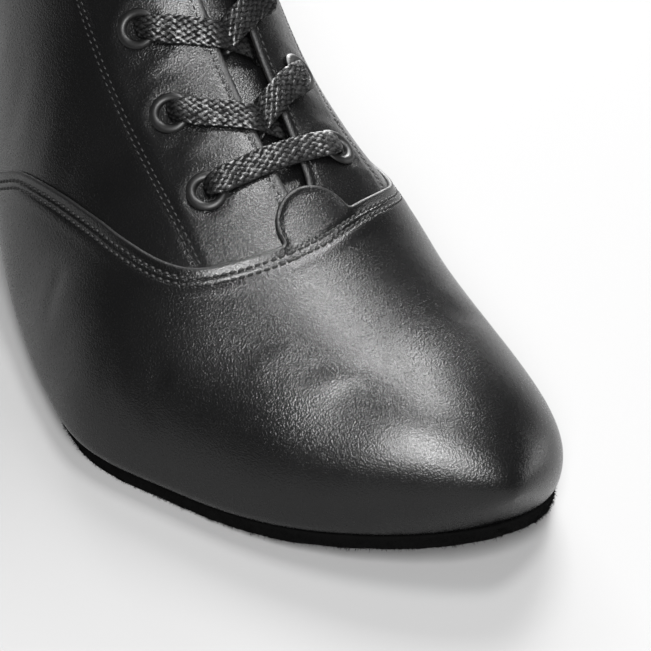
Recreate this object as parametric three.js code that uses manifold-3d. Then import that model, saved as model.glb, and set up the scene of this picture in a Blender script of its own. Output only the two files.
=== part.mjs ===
// A man's laced dance ankle boot in black leather, the right shoe, with a thin suede sole and a low block heel.
// Millimetres. x runs from the back of the heel to the tip of the toe, y towards the wearer's left, z up.
import * as THREE from 'three';
import Module from 'manifold-3d';

const wasm = await Module();
wasm.setup();

// Sizes of the upper
const LENGTH = 285;
const BALL_WIDTH = 103;
const INSTEP_HEIGHT = 112;
const SHAFT_HEIGHT = 173;
const SEAT_HEIGHT = 28;
const TOE_TIP = 24.3;
const TOE_SPRING = 11.2;
const WALL = 1.6;
const VAMP_STEP = 0.8;
const CLEARANCE = 0.3;

// Sizes of the bottom
const SOLE = 4.2;
const SOLE_PROUD = 0.8;
const INSOLE = 2.5;
const HEEL_LENGTH = 66;
const TOP_PIECE = 5;
const HEEL_TAPER = 0.93;

// Sizes of the throat, the eyelets and the lace
const THROAT_BOTTOM = 6;
const THROAT_TOP = 15;
const TAB_RADIUS = 10.5;
const EYELET_PAIRS = 7;
const EYELET_FIRST = 9;
const EYELET_LAST = 9.3;
const EYELET_STAGGER = 3.6;
const EYELET_SPREAD = 37.2;
const EYELET_SHIFT = -2.6;
const EYELET_FLANGE = 5.2;
const EYELET_BORE = 2.7;
const EYELET_METAL = 0.6;
const EYELET_RISE = 0.9;
const EYELET_SEAT = 0.45;
const LACE_WIDTH = 7;
const LACE_THICKNESS = 1.3;
const LACE_BUNCHED = 4.2;
const TONGUE = 2.5;
const TONGUE_WIDTH = 60;
const TONGUE_ABOVE = 10;
const TONGUE_LAP = 26;

// Shares of LENGTH at which the toe closes, the throat opens, the forefoot lies flat and the heel seat begins
const TOE_START = 0.782;
const THROAT_FROM = 0.7123;
const TOE_PLAN = 2.64;
const TOE_PROFILE = 4.5;
const FLAT_FROM = 0.60;
const FLAT_TO = 0.755;
const SPRING_POWER = 2.8;
const SEAT_FROM = 0.26;
const HEEL_ROUND = 0.119;
const HEEL_TUCK = 0.014;

// One row for each section, from the toe to the collar. topX and bottomX are shares of LENGTH. topRise is a share of
// INSTEP_HEIGHT up to 1, then 1 and a share of the way up to SHAFT_HEIGHT. backRise is a share of the way from
// SEAT_HEIGHT to SHAFT_HEIGHT, or 0 where the section stands on the sole. lateral, medial, centre and ridge are
// shares of half of BALL_WIDTH. sole is the share of the half width that stays at the feather line, widest the share
// of the height where the section is widest, and under, over and side are the powers of its curves.
const COLUMNS = ['topX', 'topRise', 'bottomX', 'backRise', 'lateral', 'medial', 'sole', 'widest', 'under', 'over',
  'side', 'centre', 'ridge'];
const SECTIONS = [
  [1.000, 0.355, 0.988, 0, 0.750, 0.765, 0.92, 0.13, 2.2, 2.30, 2.00, 0.515, 0.515],
  [0.919, 0.390, 0.912, 0, 0.855, 0.815, 0.93, 0.10, 2.2, 1.95, 2.00, 0.325, 0.350],
  [0.842, 0.425, 0.835, 0, 0.930, 0.885, 0.93, 0.09, 2.2, 1.95, 2.00, 0.150, 0.190],
  [0.765, 0.485, 0.758, 0, 1.095, 0.895, 0.93, 0.09, 2.2, 1.95, 2.00, 0.050, 0.120],
  [0.702, 0.555, 0.681, 0, 1.085, 0.870, 0.91, 0.10, 2.2, 2.00, 2.00, 0.000, 0.115],
  [0.646, 0.615, 0.596, 0, 1.030, 0.790, 0.87, 0.14, 2.2, 1.90, 1.95, -0.02, 0.110],
  [0.589, 0.690, 0.512, 0, 0.955, 0.695, 0.82, 0.24, 2.2, 1.85, 1.90, -0.04, 0.100],
  [0.537, 0.785, 0.421, 0, 0.860, 0.645, 0.79, 0.27, 2.2, 1.85, 1.90, -0.03, 0.090],
  [0.494, 0.890, 0.323, 0, 0.765, 0.635, 0.82, 0.28, 2.2, 1.85, 1.90, -0.01, 0.070],
  [0.460, 1.000, 0.210, 0, 0.695, 0.675, 0.88, 0.30, 2.2, 1.85, 1.90, 0, 0.050],
  [0.437, 1.330, 0.098, 0, 0.675, 0.660, 0.90, 0.34, 2.2, 1.85, 1.90, 0, 0.030],
  [0.423, 1.530, 0.014, 0, 0.655, 0.640, 0.50, 0.40, 2.3, 1.90, 1.90, 0, 0.020],
  [0.413, 1.680, 0.000, 0.17, 0.635, 0.625, 0.02, 0.42, 2.3, 1.90, 1.90, 0, 0.010],
  [0.406, 1.800, 0.014, 0.37, 0.615, 0.610, 0.02, 0.44, 2.2, 2.00, 1.90, 0, 0],
  [0.401, 1.900, 0.032, 0.60, 0.615, 0.615, 0.02, 0.46, 2.1, 2.00, 2.00, 0, 0],
  [0.397, 2.000, 0.028, 0.96, 0.650, 0.650, 0.02, 0.48, 2.0, 2.00, 2.00, 0, 0],
];
const SEAT_ROWS = 11;

// The vamp's upper edge in the side view, from the waist to the ridge: shares of LENGTH and of INSTEP_HEIGHT
const VAMP_EDGE = [
  [0.385, 0.00], [0.415, 0.10], [0.455, 0.19], [0.498, 0.294], [0.533, 0.356], [0.564, 0.386], [0.617, 0.411],
  [0.672, 0.428], [0.706, 0.434], [0.731, 0.441], [0.743, 0.455], [0.752, 0.480], [0.760, 0.530], [0.772, 0.640],
];

const clamp = (value, low, high) => Math.min(Math.max(value, low), high);
const ease = (value) => {
  const q = clamp(value, 0, 1);
  return q * q * (3 - 2 * q);
};

// Height of the upper's bottom: flat under the ball, rising to the toe and, through the waist, to the heel seat
const LOWEST = SOLE + CLEARANCE;
function seat(x) {
  const share = x / LENGTH;
  const spring = TOE_SPRING * Math.max((share - FLAT_TO) / (1 - FLAT_TO), 0) ** SPRING_POWER;
  return LOWEST + spring + (SEAT_HEIGHT - LOWEST) * ease((FLAT_FROM - share) / (FLAT_FROM - SEAT_FROM));
}

// The table in millimetres
const HALF = BALL_WIDTH / 2;
const column = {};
COLUMNS.forEach((name, index) => {
  column[name] = SECTIONS.map((row) => row[index]);
});
const rows = {
  topX: column.topX.map((v) => v * LENGTH),
  topZ: column.topRise.map((v) => Math.min(v, 1) * INSTEP_HEIGHT + Math.max(v - 1, 0) * (SHAFT_HEIGHT - INSTEP_HEIGHT)),
  bottomX: column.bottomX.map((v) => v * LENGTH),
  backZ: column.backRise.map((v, i) => (v > 0 ? SEAT_HEIGHT + v * (SHAFT_HEIGHT - SEAT_HEIGHT) : seat(column.bottomX[i] * LENGTH))),
  lateral: column.lateral.map((v) => v * HALF),
  medial: column.medial.map((v) => v * HALF),
  centre: column.centre.map((v) => v * HALF),
  ridge: column.ridge.map((v) => v * HALF),
  sole: column.sole,
  widest: column.widest,
  under: column.under,
  over: column.over,
  side: column.side,
};

// Each row's place along the boot: the mean of the lengths along its top line and its bottom line
const knots = [0];
for (let i = 1; i < SECTIONS.length; i += 1) {
  const top = Math.hypot(rows.topX[i] - rows.topX[i - 1], rows.topZ[i] - rows.topZ[i - 1]);
  const bottom = Math.hypot(rows.bottomX[i] - rows.bottomX[i - 1], rows.backZ[i] - rows.backZ[i - 1]);
  knots.push(knots[i - 1] + (top + bottom) / 2);
}
const LAST = knots[knots.length - 1];
const SEAT_END = knots[SEAT_ROWS];

// A smooth curve through a column of the table
function along(values, t) {
  const last = knots.length - 1;
  const place = clamp(t, 0, LAST);
  let i = 0;
  while (i < last - 1 && place >= knots[i + 1]) {
    i += 1;
  }
  const slope = (k) => {
    const a = Math.max(k - 1, 0);
    const b = Math.min(k + 1, last);
    return (values[b] - values[a]) / (knots[b] - knots[a]);
  };
  const h = knots[i + 1] - knots[i];
  const q = (place - knots[i]) / h;
  return (1 + 2 * q) * (1 - q) ** 2 * values[i] + q * (1 - q) ** 2 * h * slope(i)
    + q * q * (3 - 2 * q) * values[i + 1] + q * q * (q - 1) * h * slope(i + 1);
}

// Place at which a falling column reaches a value, searched up to the place given
function placeOf(name, value, end) {
  let low = 0;
  let high = end;
  for (let n = 0; n < 40; n += 1) {
    const middle = (low + high) / 2;
    if (along(rows[name], middle) > value) {
      low = middle;
    } else {
      high = middle;
    }
  }
  return (low + high) / 2;
}
const placeAt = (x) => placeOf('topX', x, knots[SEAT_ROWS]);

// All the numbers of the section at place t, with the toe and the heel seat closed
const CLOSE_X = TOE_START * LENGTH;
function sectionAt(t) {
  const s = {};
  Object.keys(rows).forEach((name) => {
    s[name] = along(rows[name], t);
  });
  const q = clamp((s.topX - CLOSE_X) / (LENGTH - CLOSE_X), 0, 1);
  const plan = Math.max(Math.sqrt(1 - q ** TOE_PLAN), 0.004);
  s.bottomZ = t <= SEAT_END ? seat(s.bottomX) : s.backZ;
  const fall = 1 - q ** TOE_PROFILE;
  const above = s.topZ - TOE_TIP;
  s.topZ = TOE_TIP + above * Math.sqrt(fall);
  s.lean = (s.topZ - s.bottomZ) / (TOE_TIP + above * fall - s.bottomZ);
  s.lateral *= plan;
  s.medial *= plan;
  const tuck = clamp((HEEL_ROUND - s.bottomX / LENGTH) / (HEEL_ROUND - HEEL_TUCK), 0, 1);
  s.round = t > SEAT_END ? 0 : Math.sqrt(1 - tuck * tuck);
  return s;
}

// A point of the section's outline. turn runs from -90 at the feather line, over 0 at the widest, to 90 at the ridge
function outlinePoint(s, hand, turn) {
  const width = hand < 0 ? s.lateral : s.medial;
  const foot = Math.max(width * s.sole * s.round, Math.min(0.4, width * 0.9));
  const angle = THREE.MathUtils.degToRad(turn);
  let rise;
  let out;
  if (turn < 0) {
    const low = angle + Math.PI / 2;
    rise = s.widest * (1 - Math.cos(low) ** (2 / s.under));
    out = foot + (width - foot) * Math.sin(low);
  } else {
    rise = s.widest + (1 - s.widest) * Math.sin(angle) ** (2 / s.over);
    out = turn >= 90 ? 0 : width * Math.cos(angle) ** (2 / s.side);
  }
  const middle = s.centre + (s.ridge - s.centre) * rise;
  return new THREE.Vector3(
    s.bottomX + (s.topX - s.bottomX) * s.lean * rise,
    middle + hand * out,
    s.bottomZ + (s.topZ - s.bottomZ) * rise,
  );
}

// One row of points for each place, from the lateral feather line over the ridge to the medial one
const LOW_STEPS = 4;
const HIGH_STEPS = 8;
const TURNS = [];
for (let i = 0; i < LOW_STEPS; i += 1) {
  TURNS.push(-90 + 90 * i / LOW_STEPS);
}
for (let i = 0; i <= HIGH_STEPS; i += 1) {
  TURNS.push(90 * i / HIGH_STEPS);
}
function sectionRow(t) {
  const s = sectionAt(t);
  const lateral = TURNS.map((turn) => outlinePoint(s, -1, turn));
  const medial = TURNS.slice(0, -1).reverse().map((turn) => outlinePoint(s, 1, turn));
  return lateral.concat(medial);
}

const TOE_STEPS = 8;
const BODY_STEPS = 18;
const HEEL_STEPS = 5;
const SHAFT_STEPS = 5;
const places = [];
for (let i = 0; i < TOE_STEPS; i += 1) {
  places.push(placeAt(CLOSE_X + (LENGTH - CLOSE_X) * Math.cos(i / TOE_STEPS * Math.PI / 2)));
}
places[0] = 0;
const CLOSE_PLACE = placeAt(CLOSE_X);
const HEEL_PLACE = placeOf('bottomX', HEEL_ROUND * LENGTH, SEAT_END);
for (let i = 0; i < BODY_STEPS; i += 1) {
  places.push(CLOSE_PLACE + (HEEL_PLACE - CLOSE_PLACE) * i / BODY_STEPS);
}
for (let i = 0; i < HEEL_STEPS; i += 1) {
  const share = HEEL_ROUND + (HEEL_TUCK - HEEL_ROUND) * Math.sin(i / HEEL_STEPS * Math.PI / 2);
  places.push(placeOf('bottomX', share * LENGTH, SEAT_END));
}
for (let i = 0; i <= SHAFT_STEPS; i += 1) {
  places.push(SEAT_END + (LAST - SEAT_END) * i / SHAFT_STEPS);
}
const grid = places.map(sectionRow);

// Outward normals of a grid whose rows close under the foot
function gridNormals(points) {
  return points.map((row, i) => row.map((p, j) => {
    const before = points[Math.max(i - 1, 0)][j];
    const after = points[Math.min(i + 1, points.length - 1)][j];
    const lengthwise = after.clone().sub(before);
    const left = row[(j + row.length - 1) % row.length];
    const right = row[(j + 1) % row.length];
    const a = p.clone().sub(left).normalize();
    const b = right.clone().sub(p).normalize();
    return a.add(b).cross(lengthwise).normalize();
  }));
}
const normals = gridNormals(grid);

// The grid moved outwards by a distance. Where it is to be trimmed level with the seat, its feather line lies deeper
function moved(distance, first, trimmed) {
  return grid.slice(first).map((row, i) => row.map((p, j) => {
    const q = p.clone().addScaledVector(normals[i + first][j], distance);
    if (trimmed && (j === 0 || j === row.length - 1) && places[i + first] <= SEAT_END) {
      q.z = p.z - VAMP_STEP;
    }
    return q;
  }));
}

// A closed solid from rows of points, closed under the foot and at both ends
function tubeSolid(points) {
  const across = points[0].length;
  const vertices = [];
  points.forEach((row) => row.forEach((p) => vertices.push(p.x, p.y, p.z)));
  const triangles = [];
  const at = (i, j) => i * across + j;
  const quad = (a, b, c, d) => triangles.push(a, b, c, a, c, d);
  for (let i = 0; i < points.length - 1; i += 1) {
    for (let j = 0; j < across; j += 1) {
      const k = (j + 1) % across;
      quad(at(i, j), at(i, k), at(i + 1, k), at(i + 1, j));
    }
  }
  for (const [i, front] of [[0, true], [points.length - 1, false]]) {
    for (let j = 0; j < across / 2 - 1; j += 1) {
      const a = at(i, j);
      const b = at(i, j + 1);
      const c = at(i, across - 2 - j);
      const d = at(i, across - 1 - j);
      const corners = b === c ? [[a, b, d]] : [[a, b, c], [a, c, d]];
      corners.forEach((t) => triangles.push(...(front ? [t[0], t[2], t[1]] : t)));
    }
  }
  return solid(vertices, triangles);
}

function solid(vertices, triangles) {
  const mesh = new wasm.Mesh({
    numProp: 3,
    vertProperties: Float32Array.from(vertices),
    triVerts: Uint32Array.from(triangles),
  });
  const result = new wasm.Manifold(mesh);
  if (result.volume() >= 0) {
    return result;
  }
  const turned = [];
  for (let i = 0; i < triangles.length; i += 3) {
    turned.push(triangles[i], triangles[i + 2], triangles[i + 1]);
  }
  return new wasm.Manifold(new wasm.Mesh({
    numProp: 3,
    vertProperties: Float32Array.from(vertices),
    triVerts: Uint32Array.from(turned),
  }));
}

function fromGeometry(geometry) {
  const plain = geometry.index ? geometry.toNonIndexed() : geometry;
  const points = plain.attributes.position;
  const keys = new Map();
  const vertices = [];
  const triangles = [];
  for (let i = 0; i < points.count; i += 1) {
    const p = [points.getX(i), points.getY(i), points.getZ(i)];
    const key = p.map((v) => Math.round(v * 1e4)).join(' ');
    if (!keys.has(key)) {
      keys.set(key, vertices.length / 3);
      vertices.push(...p);
    }
    triangles.push(keys.get(key));
  }
  const kept = [];
  for (let i = 0; i < triangles.length; i += 3) {
    const [a, b, c] = triangles.slice(i, i + 3);
    if (a !== b && b !== c && c !== a) {
      kept.push(a, b, c);
    }
  }
  return solid(vertices, kept);
}

function toGeometry(manifold) {
  const mesh = manifold.getMesh();
  const geometry = new THREE.BufferGeometry();
  geometry.setAttribute('position', new THREE.BufferAttribute(new Float32Array(mesh.vertProperties), 3));
  geometry.setIndex(new THREE.BufferAttribute(new Uint32Array(mesh.triVerts), 1));
  return geometry;
}

// A prism from a side view outline of x and z, right across the boot
function sidePrism(outline) {
  const shape = new THREE.Shape(outline.map(([x, z]) => new THREE.Vector2(x, z)));
  const geometry = new THREE.ExtrudeGeometry(shape, { depth: 2 * BALL_WIDTH, bevelEnabled: false });
  geometry.rotateX(Math.PI / 2);
  geometry.translate(0, BALL_WIDTH, 0);
  return fromGeometry(geometry);
}

// Feather line of the upper in plan, moved outwards by a distance: pairs of lateral and medial points
const footRows = grid.filter((row, i) => places[i] <= SEAT_END + 1e-9);
function featherPairs(distance) {
  const lateral = footRows.map((row) => row[0]);
  const medial = footRows.map((row) => row[row.length - 1]);
  const loop = lateral.concat(medial.slice().reverse());
  const out = loop.map((p, i) => {
    const before = loop[(i + loop.length - 1) % loop.length];
    const after = loop[(i + 1) % loop.length];
    const step = new THREE.Vector2(after.x - before.x, after.y - before.y).normalize();
    return new THREE.Vector2(p.x - step.y * distance, p.y + step.x * distance);
  });
  const n = lateral.length;
  const pairs = [];
  for (let i = 0; i < n; i += 1) {
    pairs.push([out[i], out[2 * n - 1 - i]]);
  }
  return pairs;
}

// A plate between two height functions of x, over pairs of lateral and medial points
function plate(pairs, topOf, bottomOf) {
  const vertices = [];
  pairs.forEach((pair) => pair.forEach((p) => {
    vertices.push(p.x, p.y, bottomOf(p.x));
    vertices.push(p.x, p.y, topOf(p.x));
  }));
  const triangles = [];
  const quad = (a, b, c, d) => triangles.push(a, b, c, a, c, d);
  const last = pairs.length - 1;
  for (let i = 0; i < last; i += 1) {
    const a = 4 * i;
    const b = 4 * (i + 1);
    quad(a, b, b + 2, a + 2);
    quad(a + 1, a + 3, b + 3, b + 1);
    quad(a, a + 1, b + 1, b);
    quad(a + 2, b + 2, b + 3, a + 3);
  }
  quad(0, 2, 3, 1);
  quad(4 * last, 4 * last + 1, 4 * last + 3, 4 * last + 2);
  return solid(vertices, triangles);
}

const INNER = WALL + VAMP_STEP;
const vampForm = tubeSolid(moved(0, 0, true));
const quarterForm = tubeSolid(moved(-VAMP_STEP, 2, true));
const innerRows = moved(-INNER, 2, false);
const above = innerRows[innerRows.length - 1].map((p) => p.clone().setZ(p.z + 3 * INNER));
const innerForm = tubeSolid([...innerRows, above]);

// Point and normal on the upper's outer form: place t and distance round the section from the ridge, medial positive
function onForm(t, round) {
  const hand = round < 0 ? -1 : 1;
  const steps = 40;
  const trace = (place) => {
    const s = sectionAt(place);
    const points = [];
    for (let i = 0; i <= steps; i += 1) {
      points.push(outlinePoint(s, hand, 90 - 90 * i / steps));
    }
    let left = Math.abs(round);
    let k = 0;
    while (k < steps - 1 && left > points[k].distanceTo(points[k + 1])) {
      left -= points[k].distanceTo(points[k + 1]);
      k += 1;
    }
    const q = left / points[k].distanceTo(points[k + 1]);
    const point = points[k].clone().lerp(points[k + 1], q);
    const direction = points[k + 1].clone().sub(points[k]).normalize().multiplyScalar(hand);
    return { point, direction };
  };
  const here = trace(t);
  const ahead = trace(t - 0.5).point;
  const behind = trace(t + 0.5).point;
  const up = behind.sub(ahead).normalize();
  const normal = here.direction.clone().cross(up).normalize();
  if (round === 0) {
    normal.y = 0;
    normal.normalize();
  }
  return { point: here.point, normal, up };
}

// The ridge from the throat's start to the collar, as length against place
const THROAT_START = THROAT_FROM * LENGTH;
const ridgeLine = [];
for (let i = 0; i <= 400; i += 1) {
  const t = placeAt(THROAT_START) + (LAST - placeAt(THROAT_START)) * i / 400;
  const s = sectionAt(t);
  const point = new THREE.Vector3(s.topX, s.ridge, s.topZ);
  const length = i === 0 ? 0 : ridgeLine[i - 1].length + point.distanceTo(ridgeLine[i - 1].point);
  ridgeLine.push({ t, point, length });
}
const RIDGE_LENGTH = ridgeLine[400].length;
const EYELET_PITCH = (RIDGE_LENGTH - EYELET_FIRST - EYELET_LAST) / (EYELET_PAIRS - 1);
function ridgePlace(length) {
  if (length <= 0) {
    return placeAt(THROAT_START) + length * (ridgeLine[1].t - ridgeLine[0].t) / ridgeLine[1].length;
  }
  let i = 1;
  while (i < 400 && ridgeLine[i].length < length) {
    i += 1;
  }
  const a = ridgeLine[i - 1];
  const b = ridgeLine[i];
  return a.t + (b.t - a.t) * (length - a.length) / (b.length - a.length);
}
const throatGap = (length) => THROAT_BOTTOM + (THROAT_TOP - THROAT_BOTTOM) * Math.sqrt(clamp(length / RIDGE_LENGTH, 0, 1));

// A box-like loft through frames of four corners, for the throat's cutter
function fourCornerLoft(frames) {
  const vertices = [];
  frames.forEach((corners) => corners.forEach((p) => vertices.push(p.x, p.y, p.z)));
  const triangles = [];
  const quad = (a, b, c, d) => triangles.push(a, b, c, a, c, d);
  for (let i = 0; i < frames.length - 1; i += 1) {
    for (let j = 0; j < 4; j += 1) {
      const k = (j + 1) % 4;
      quad(4 * i + j, 4 * i + k, 4 * (i + 1) + k, 4 * (i + 1) + j);
    }
  }
  const e = 4 * (frames.length - 1);
  quad(3, 2, 1, 0);
  quad(e, e + 1, e + 2, e + 3);
  return solid(vertices, triangles);
}
const throatFrames = [];
const THROAT_STEPS = 16;
for (let i = 0; i <= THROAT_STEPS + 1; i += 1) {
  const length = Math.min(i, THROAT_STEPS) * RIDGE_LENGTH / THROAT_STEPS;
  const { point, normal, up } = onForm(ridgePlace(length), 0);
  const base = point.clone().addScaledVector(up, i > THROAT_STEPS ? 4 * INNER : 0);
  const half = throatGap(length) / 2;
  const corner = (y, depth) => base.clone().addScaledVector(normal, depth).add(new THREE.Vector3(0, y, 0));
  throatFrames.push([corner(-half, -4 * INNER), corner(half, -4 * INNER), corner(half, 3 * INNER), corner(-half, 3 * INNER)]);
}
const throatCutter = fourCornerLoft(throatFrames);

// The vamp lies over the quarters: everything in front of its edge, and the half-round tab over the throat's start
const vampOutline = VAMP_EDGE.map(([x, z]) => [x * LENGTH, z * INSTEP_HEIGHT]);
const vampPrism = sidePrism([...vampOutline, [LENGTH * 1.1, INSTEP_HEIGHT], [LENGTH * 1.1, -SOLE], [vampOutline[0][0], -SOLE]]);
function cylinderAlong(point, normal, radius, low, high, sides) {
  const geometry = new THREE.CylinderGeometry(radius, radius, high - low, sides);
  geometry.rotateX(Math.PI / 2);
  const turn = new THREE.Quaternion().setFromUnitVectors(new THREE.Vector3(0, 0, 1), normal);
  geometry.applyQuaternion(turn);
  const middle = point.clone().addScaledVector(normal, (low + high) / 2);
  geometry.translate(middle.x, middle.y, middle.z);
  return fromGeometry(geometry);
}
const tabSeat = onForm(ridgePlace(-TAB_RADIUS), 0);
const tabPrism = cylinderAlong(tabSeat.point, tabSeat.normal, TAB_RADIUS, -3 * INNER, 3 * INNER, 32);
const overlay = vampForm.intersect(vampPrism.add(tabPrism));

// Under the foot the upper is open between its rims, where the insole lies
const RIM = INNER;
const innerPairs = (distance) => featherPairs(-distance).filter((pair) => pair[1].y - pair[0].y > 4 * INNER);
const bottomCutter = plate(innerPairs(RIM), (x) => seat(x) + INNER + CLEARANCE, (x) => seat(x) - SOLE);

// Eyelets, in pairs up the facings: the medial one of a pair sits a stagger higher, and a row follows its facing's edge
const eyeLength = (hand, row) => EYELET_FIRST + row * EYELET_PITCH + hand * EYELET_STAGGER / 2;
const eyeRound = (hand, row) => EYELET_SHIFT + hand / 2
  * (EYELET_SPREAD + throatGap(eyeLength(hand, row)) - throatGap(EYELET_FIRST));
const eyeletPlaces = [];
for (let row = 0; row < EYELET_PAIRS; row += 1) {
  const [lateral, medial] = [-1, 1].map((hand) => onForm(ridgePlace(eyeLength(hand, row)), eyeRound(hand, row)));
  [lateral, medial].forEach((place) => place.point.addScaledVector(place.normal, -VAMP_STEP));
  eyeletPlaces.push({ lateral, medial });
}
const barrel = EYELET_BORE + EYELET_METAL;
const floorLine = [];
for (let i = 0; i <= 24; i += 1) {
  const x = LENGTH * (1.04 * i / 24 - 0.02);
  floorLine.push([x, seat(x)]);
}
const floorPrism = sidePrism([...floorLine, [LENGTH * 1.02, -SOLE], [-LENGTH * 0.02, -SOLE]]);
let upper = quarterForm.subtract(throatCutter).add(overlay).subtract(floorPrism.add(bottomCutter)).subtract(innerForm);
eyeletPlaces.forEach(({ lateral, medial }) => {
  for (const { point, normal } of [lateral, medial]) {
    upper = upper.subtract(cylinderAlong(point, normal, barrel + 1.2 * CLEARANCE, -2 * INNER, INNER, 12));
  }
});

const leather = new THREE.MeshStandardMaterial({ color: 0x161616, roughness: 0.42, metalness: 0 });
const lining = new THREE.MeshStandardMaterial({ color: 0x1c1a19, roughness: 0.8, metalness: 0 });
const suede = new THREE.MeshStandardMaterial({ color: 0x0d0d0d, roughness: 0.95, metalness: 0 });
const heelLeather = new THREE.MeshStandardMaterial({ color: 0x121212, roughness: 0.5, metalness: 0 });
const rubber = new THREE.MeshStandardMaterial({ color: 0x0b0b0b, roughness: 0.85, metalness: 0 });
const blackMetal = new THREE.MeshStandardMaterial({ color: 0x121212, roughness: 0.35, metalness: 0.2 });
const waxedCord = new THREE.MeshStandardMaterial({ color: 0x141414, roughness: 0.5, metalness: 0 });

const boot = new THREE.Group();
function put(name, geometry, material) {
  const mesh = new THREE.Mesh(geometry, material);
  mesh.name = name;
  boot.add(mesh);
  return mesh;
}

// Outsole, insole and heel
const solePairs = featherPairs(SOLE_PROUD);
const soleTop = (x) => seat(x) - CLEARANCE;
const soleBottom = (x) => seat(x) - LOWEST;
const outsole = plate(solePairs, soleTop, soleBottom);
const insole = plate(innerPairs(RIM + CLEARANCE), (x) => seat(x) + INSOLE, seat);
const heelTop = soleBottom(0) - CLEARANCE;
const heelPairs = solePairs.filter((pair) => pair[0].x < HEEL_LENGTH);
const frontPair = solePairs[solePairs.indexOf(heelPairs[0]) - 1];
const shareToBreast = (k) => (HEEL_LENGTH - heelPairs[0][k].x) / (frontPair[k].x - heelPairs[0][k].x);
heelPairs.unshift([0, 1].map((k) => heelPairs[0][k].clone().lerp(frontPair[k], shareToBreast(k))));
function heelSlice(high, low) {
  const vertices = [];
  const taper = (p, z) => {
    const share = 1 - (1 - HEEL_TAPER) * (heelTop - z) / heelTop;
    vertices.push(HEEL_LENGTH + (p.x - HEEL_LENGTH) * share, p.y * share, z);
  };
  heelPairs.forEach((pair) => pair.forEach((p) => {
    taper(p, low);
    taper(p, high);
  }));
  const triangles = [];
  const quad = (a, b, c, d) => triangles.push(a, b, c, a, c, d);
  const last = heelPairs.length - 1;
  for (let i = 0; i < last; i += 1) {
    const a = 4 * i;
    const b = 4 * (i + 1);
    quad(a, b, b + 2, a + 2);
    quad(a + 1, a + 3, b + 3, b + 1);
    quad(a, a + 1, b + 1, b);
    quad(a + 2, b + 2, b + 3, a + 3);
  }
  quad(0, 2, 3, 1);
  quad(4 * last, 4 * last + 1, 4 * last + 3, 4 * last + 2);
  return solid(vertices, triangles);
}
const heelBlock = heelSlice(heelTop, TOP_PIECE + CLEARANCE);
const topPiece = heelSlice(TOP_PIECE, 0);

// Tongue: a curved sheet under the facings, close under the vamp and lower where the lace runs over it
const LACE_ROOM = LACE_THICKNESS + 3 * CLEARANCE;
const tongueRows = [];
const TONGUE_STEPS = 18;
for (let i = 0; i <= TONGUE_STEPS; i += 1) {
  const length = -TONGUE_LAP + (RIDGE_LENGTH + TONGUE_LAP) * i / TONGUE_STEPS;
  const depth = INNER + CLEARANCE + (LACE_ROOM - CLEARANCE) * ease((length + TAB_RADIUS) / TAB_RADIUS);
  const half = TONGUE_WIDTH / 2 * (0.8 + 0.2 * ease((length + TONGUE_LAP) / (2 * TONGUE_LAP)));
  tongueRows.push({ length, depth, half });
}
function tongueSolid() {
  const steps = 6;
  const outer = [];
  const inner = [];
  tongueRows.forEach(({ length, depth, half }) => {
    const t = ridgePlace(length);
    const over = [];
    const below = [];
    for (let j = 0; j <= steps; j += 1) {
      const { point, normal } = onForm(t, half * (2 * j / steps - 1));
      over.push(point.clone().addScaledVector(normal, -depth));
      below.push(point.clone().addScaledVector(normal, -depth - TONGUE));
    }
    outer.push(over);
    inner.push(below);
  });
  const extend = (list) => {
    const a = list[list.length - 2];
    const b = list[list.length - 1];
    list.push(b.map((p, j) => p.clone().addScaledVector(p.clone().sub(a[j]).normalize(), TONGUE_ABOVE)));
  };
  extend(outer);
  extend(inner);
  const vertices = [];
  const n = outer.length;
  const m = steps + 1;
  [...outer, ...inner].forEach((row) => row.forEach((p) => vertices.push(p.x, p.y, p.z)));
  const at = (layer, i, j) => layer * n * m + i * m + j;
  const triangles = [];
  const quad = (a, b, c, d) => triangles.push(a, b, c, a, c, d);
  for (let i = 0; i < n - 1; i += 1) {
    for (let j = 0; j < steps; j += 1) {
      quad(at(0, i, j), at(0, i, j + 1), at(0, i + 1, j + 1), at(0, i + 1, j));
      quad(at(1, i, j), at(1, i + 1, j), at(1, i + 1, j + 1), at(1, i, j + 1));
    }
    quad(at(0, i, 0), at(0, i + 1, 0), at(1, i + 1, 0), at(1, i, 0));
    quad(at(0, i, steps), at(1, i, steps), at(1, i + 1, steps), at(0, i + 1, steps));
  }
  for (let j = 0; j < steps; j += 1) {
    quad(at(0, 0, j), at(1, 0, j), at(1, 0, j + 1), at(0, 0, j + 1));
    quad(at(0, n - 1, j), at(0, n - 1, j + 1), at(1, n - 1, j + 1), at(1, n - 1, j));
  }
  return solid(vertices, triangles);
}

// One eyelet, with its flange's underside at height 0 and its barrel down through the wall
function eyeletGeometry() {
  const edge = EYELET_FLANGE;
  const profile = [
    [EYELET_BORE, -WALL - EYELET_SEAT], [barrel, -WALL - EYELET_SEAT], [barrel, 0], [edge, 0],
    [edge - 0.2, EYELET_RISE * 0.6], [(edge + EYELET_BORE) / 2, EYELET_RISE], [EYELET_BORE, EYELET_RISE * 0.5],
    [EYELET_BORE, -WALL - EYELET_SEAT],
  ];
  const lathe = new THREE.LatheGeometry(profile.map(([r, z]) => new THREE.Vector2(r, z)), 10);
  lathe.rotateX(Math.PI / 2);
  return toGeometry(fromGeometry(lathe));
}

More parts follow.
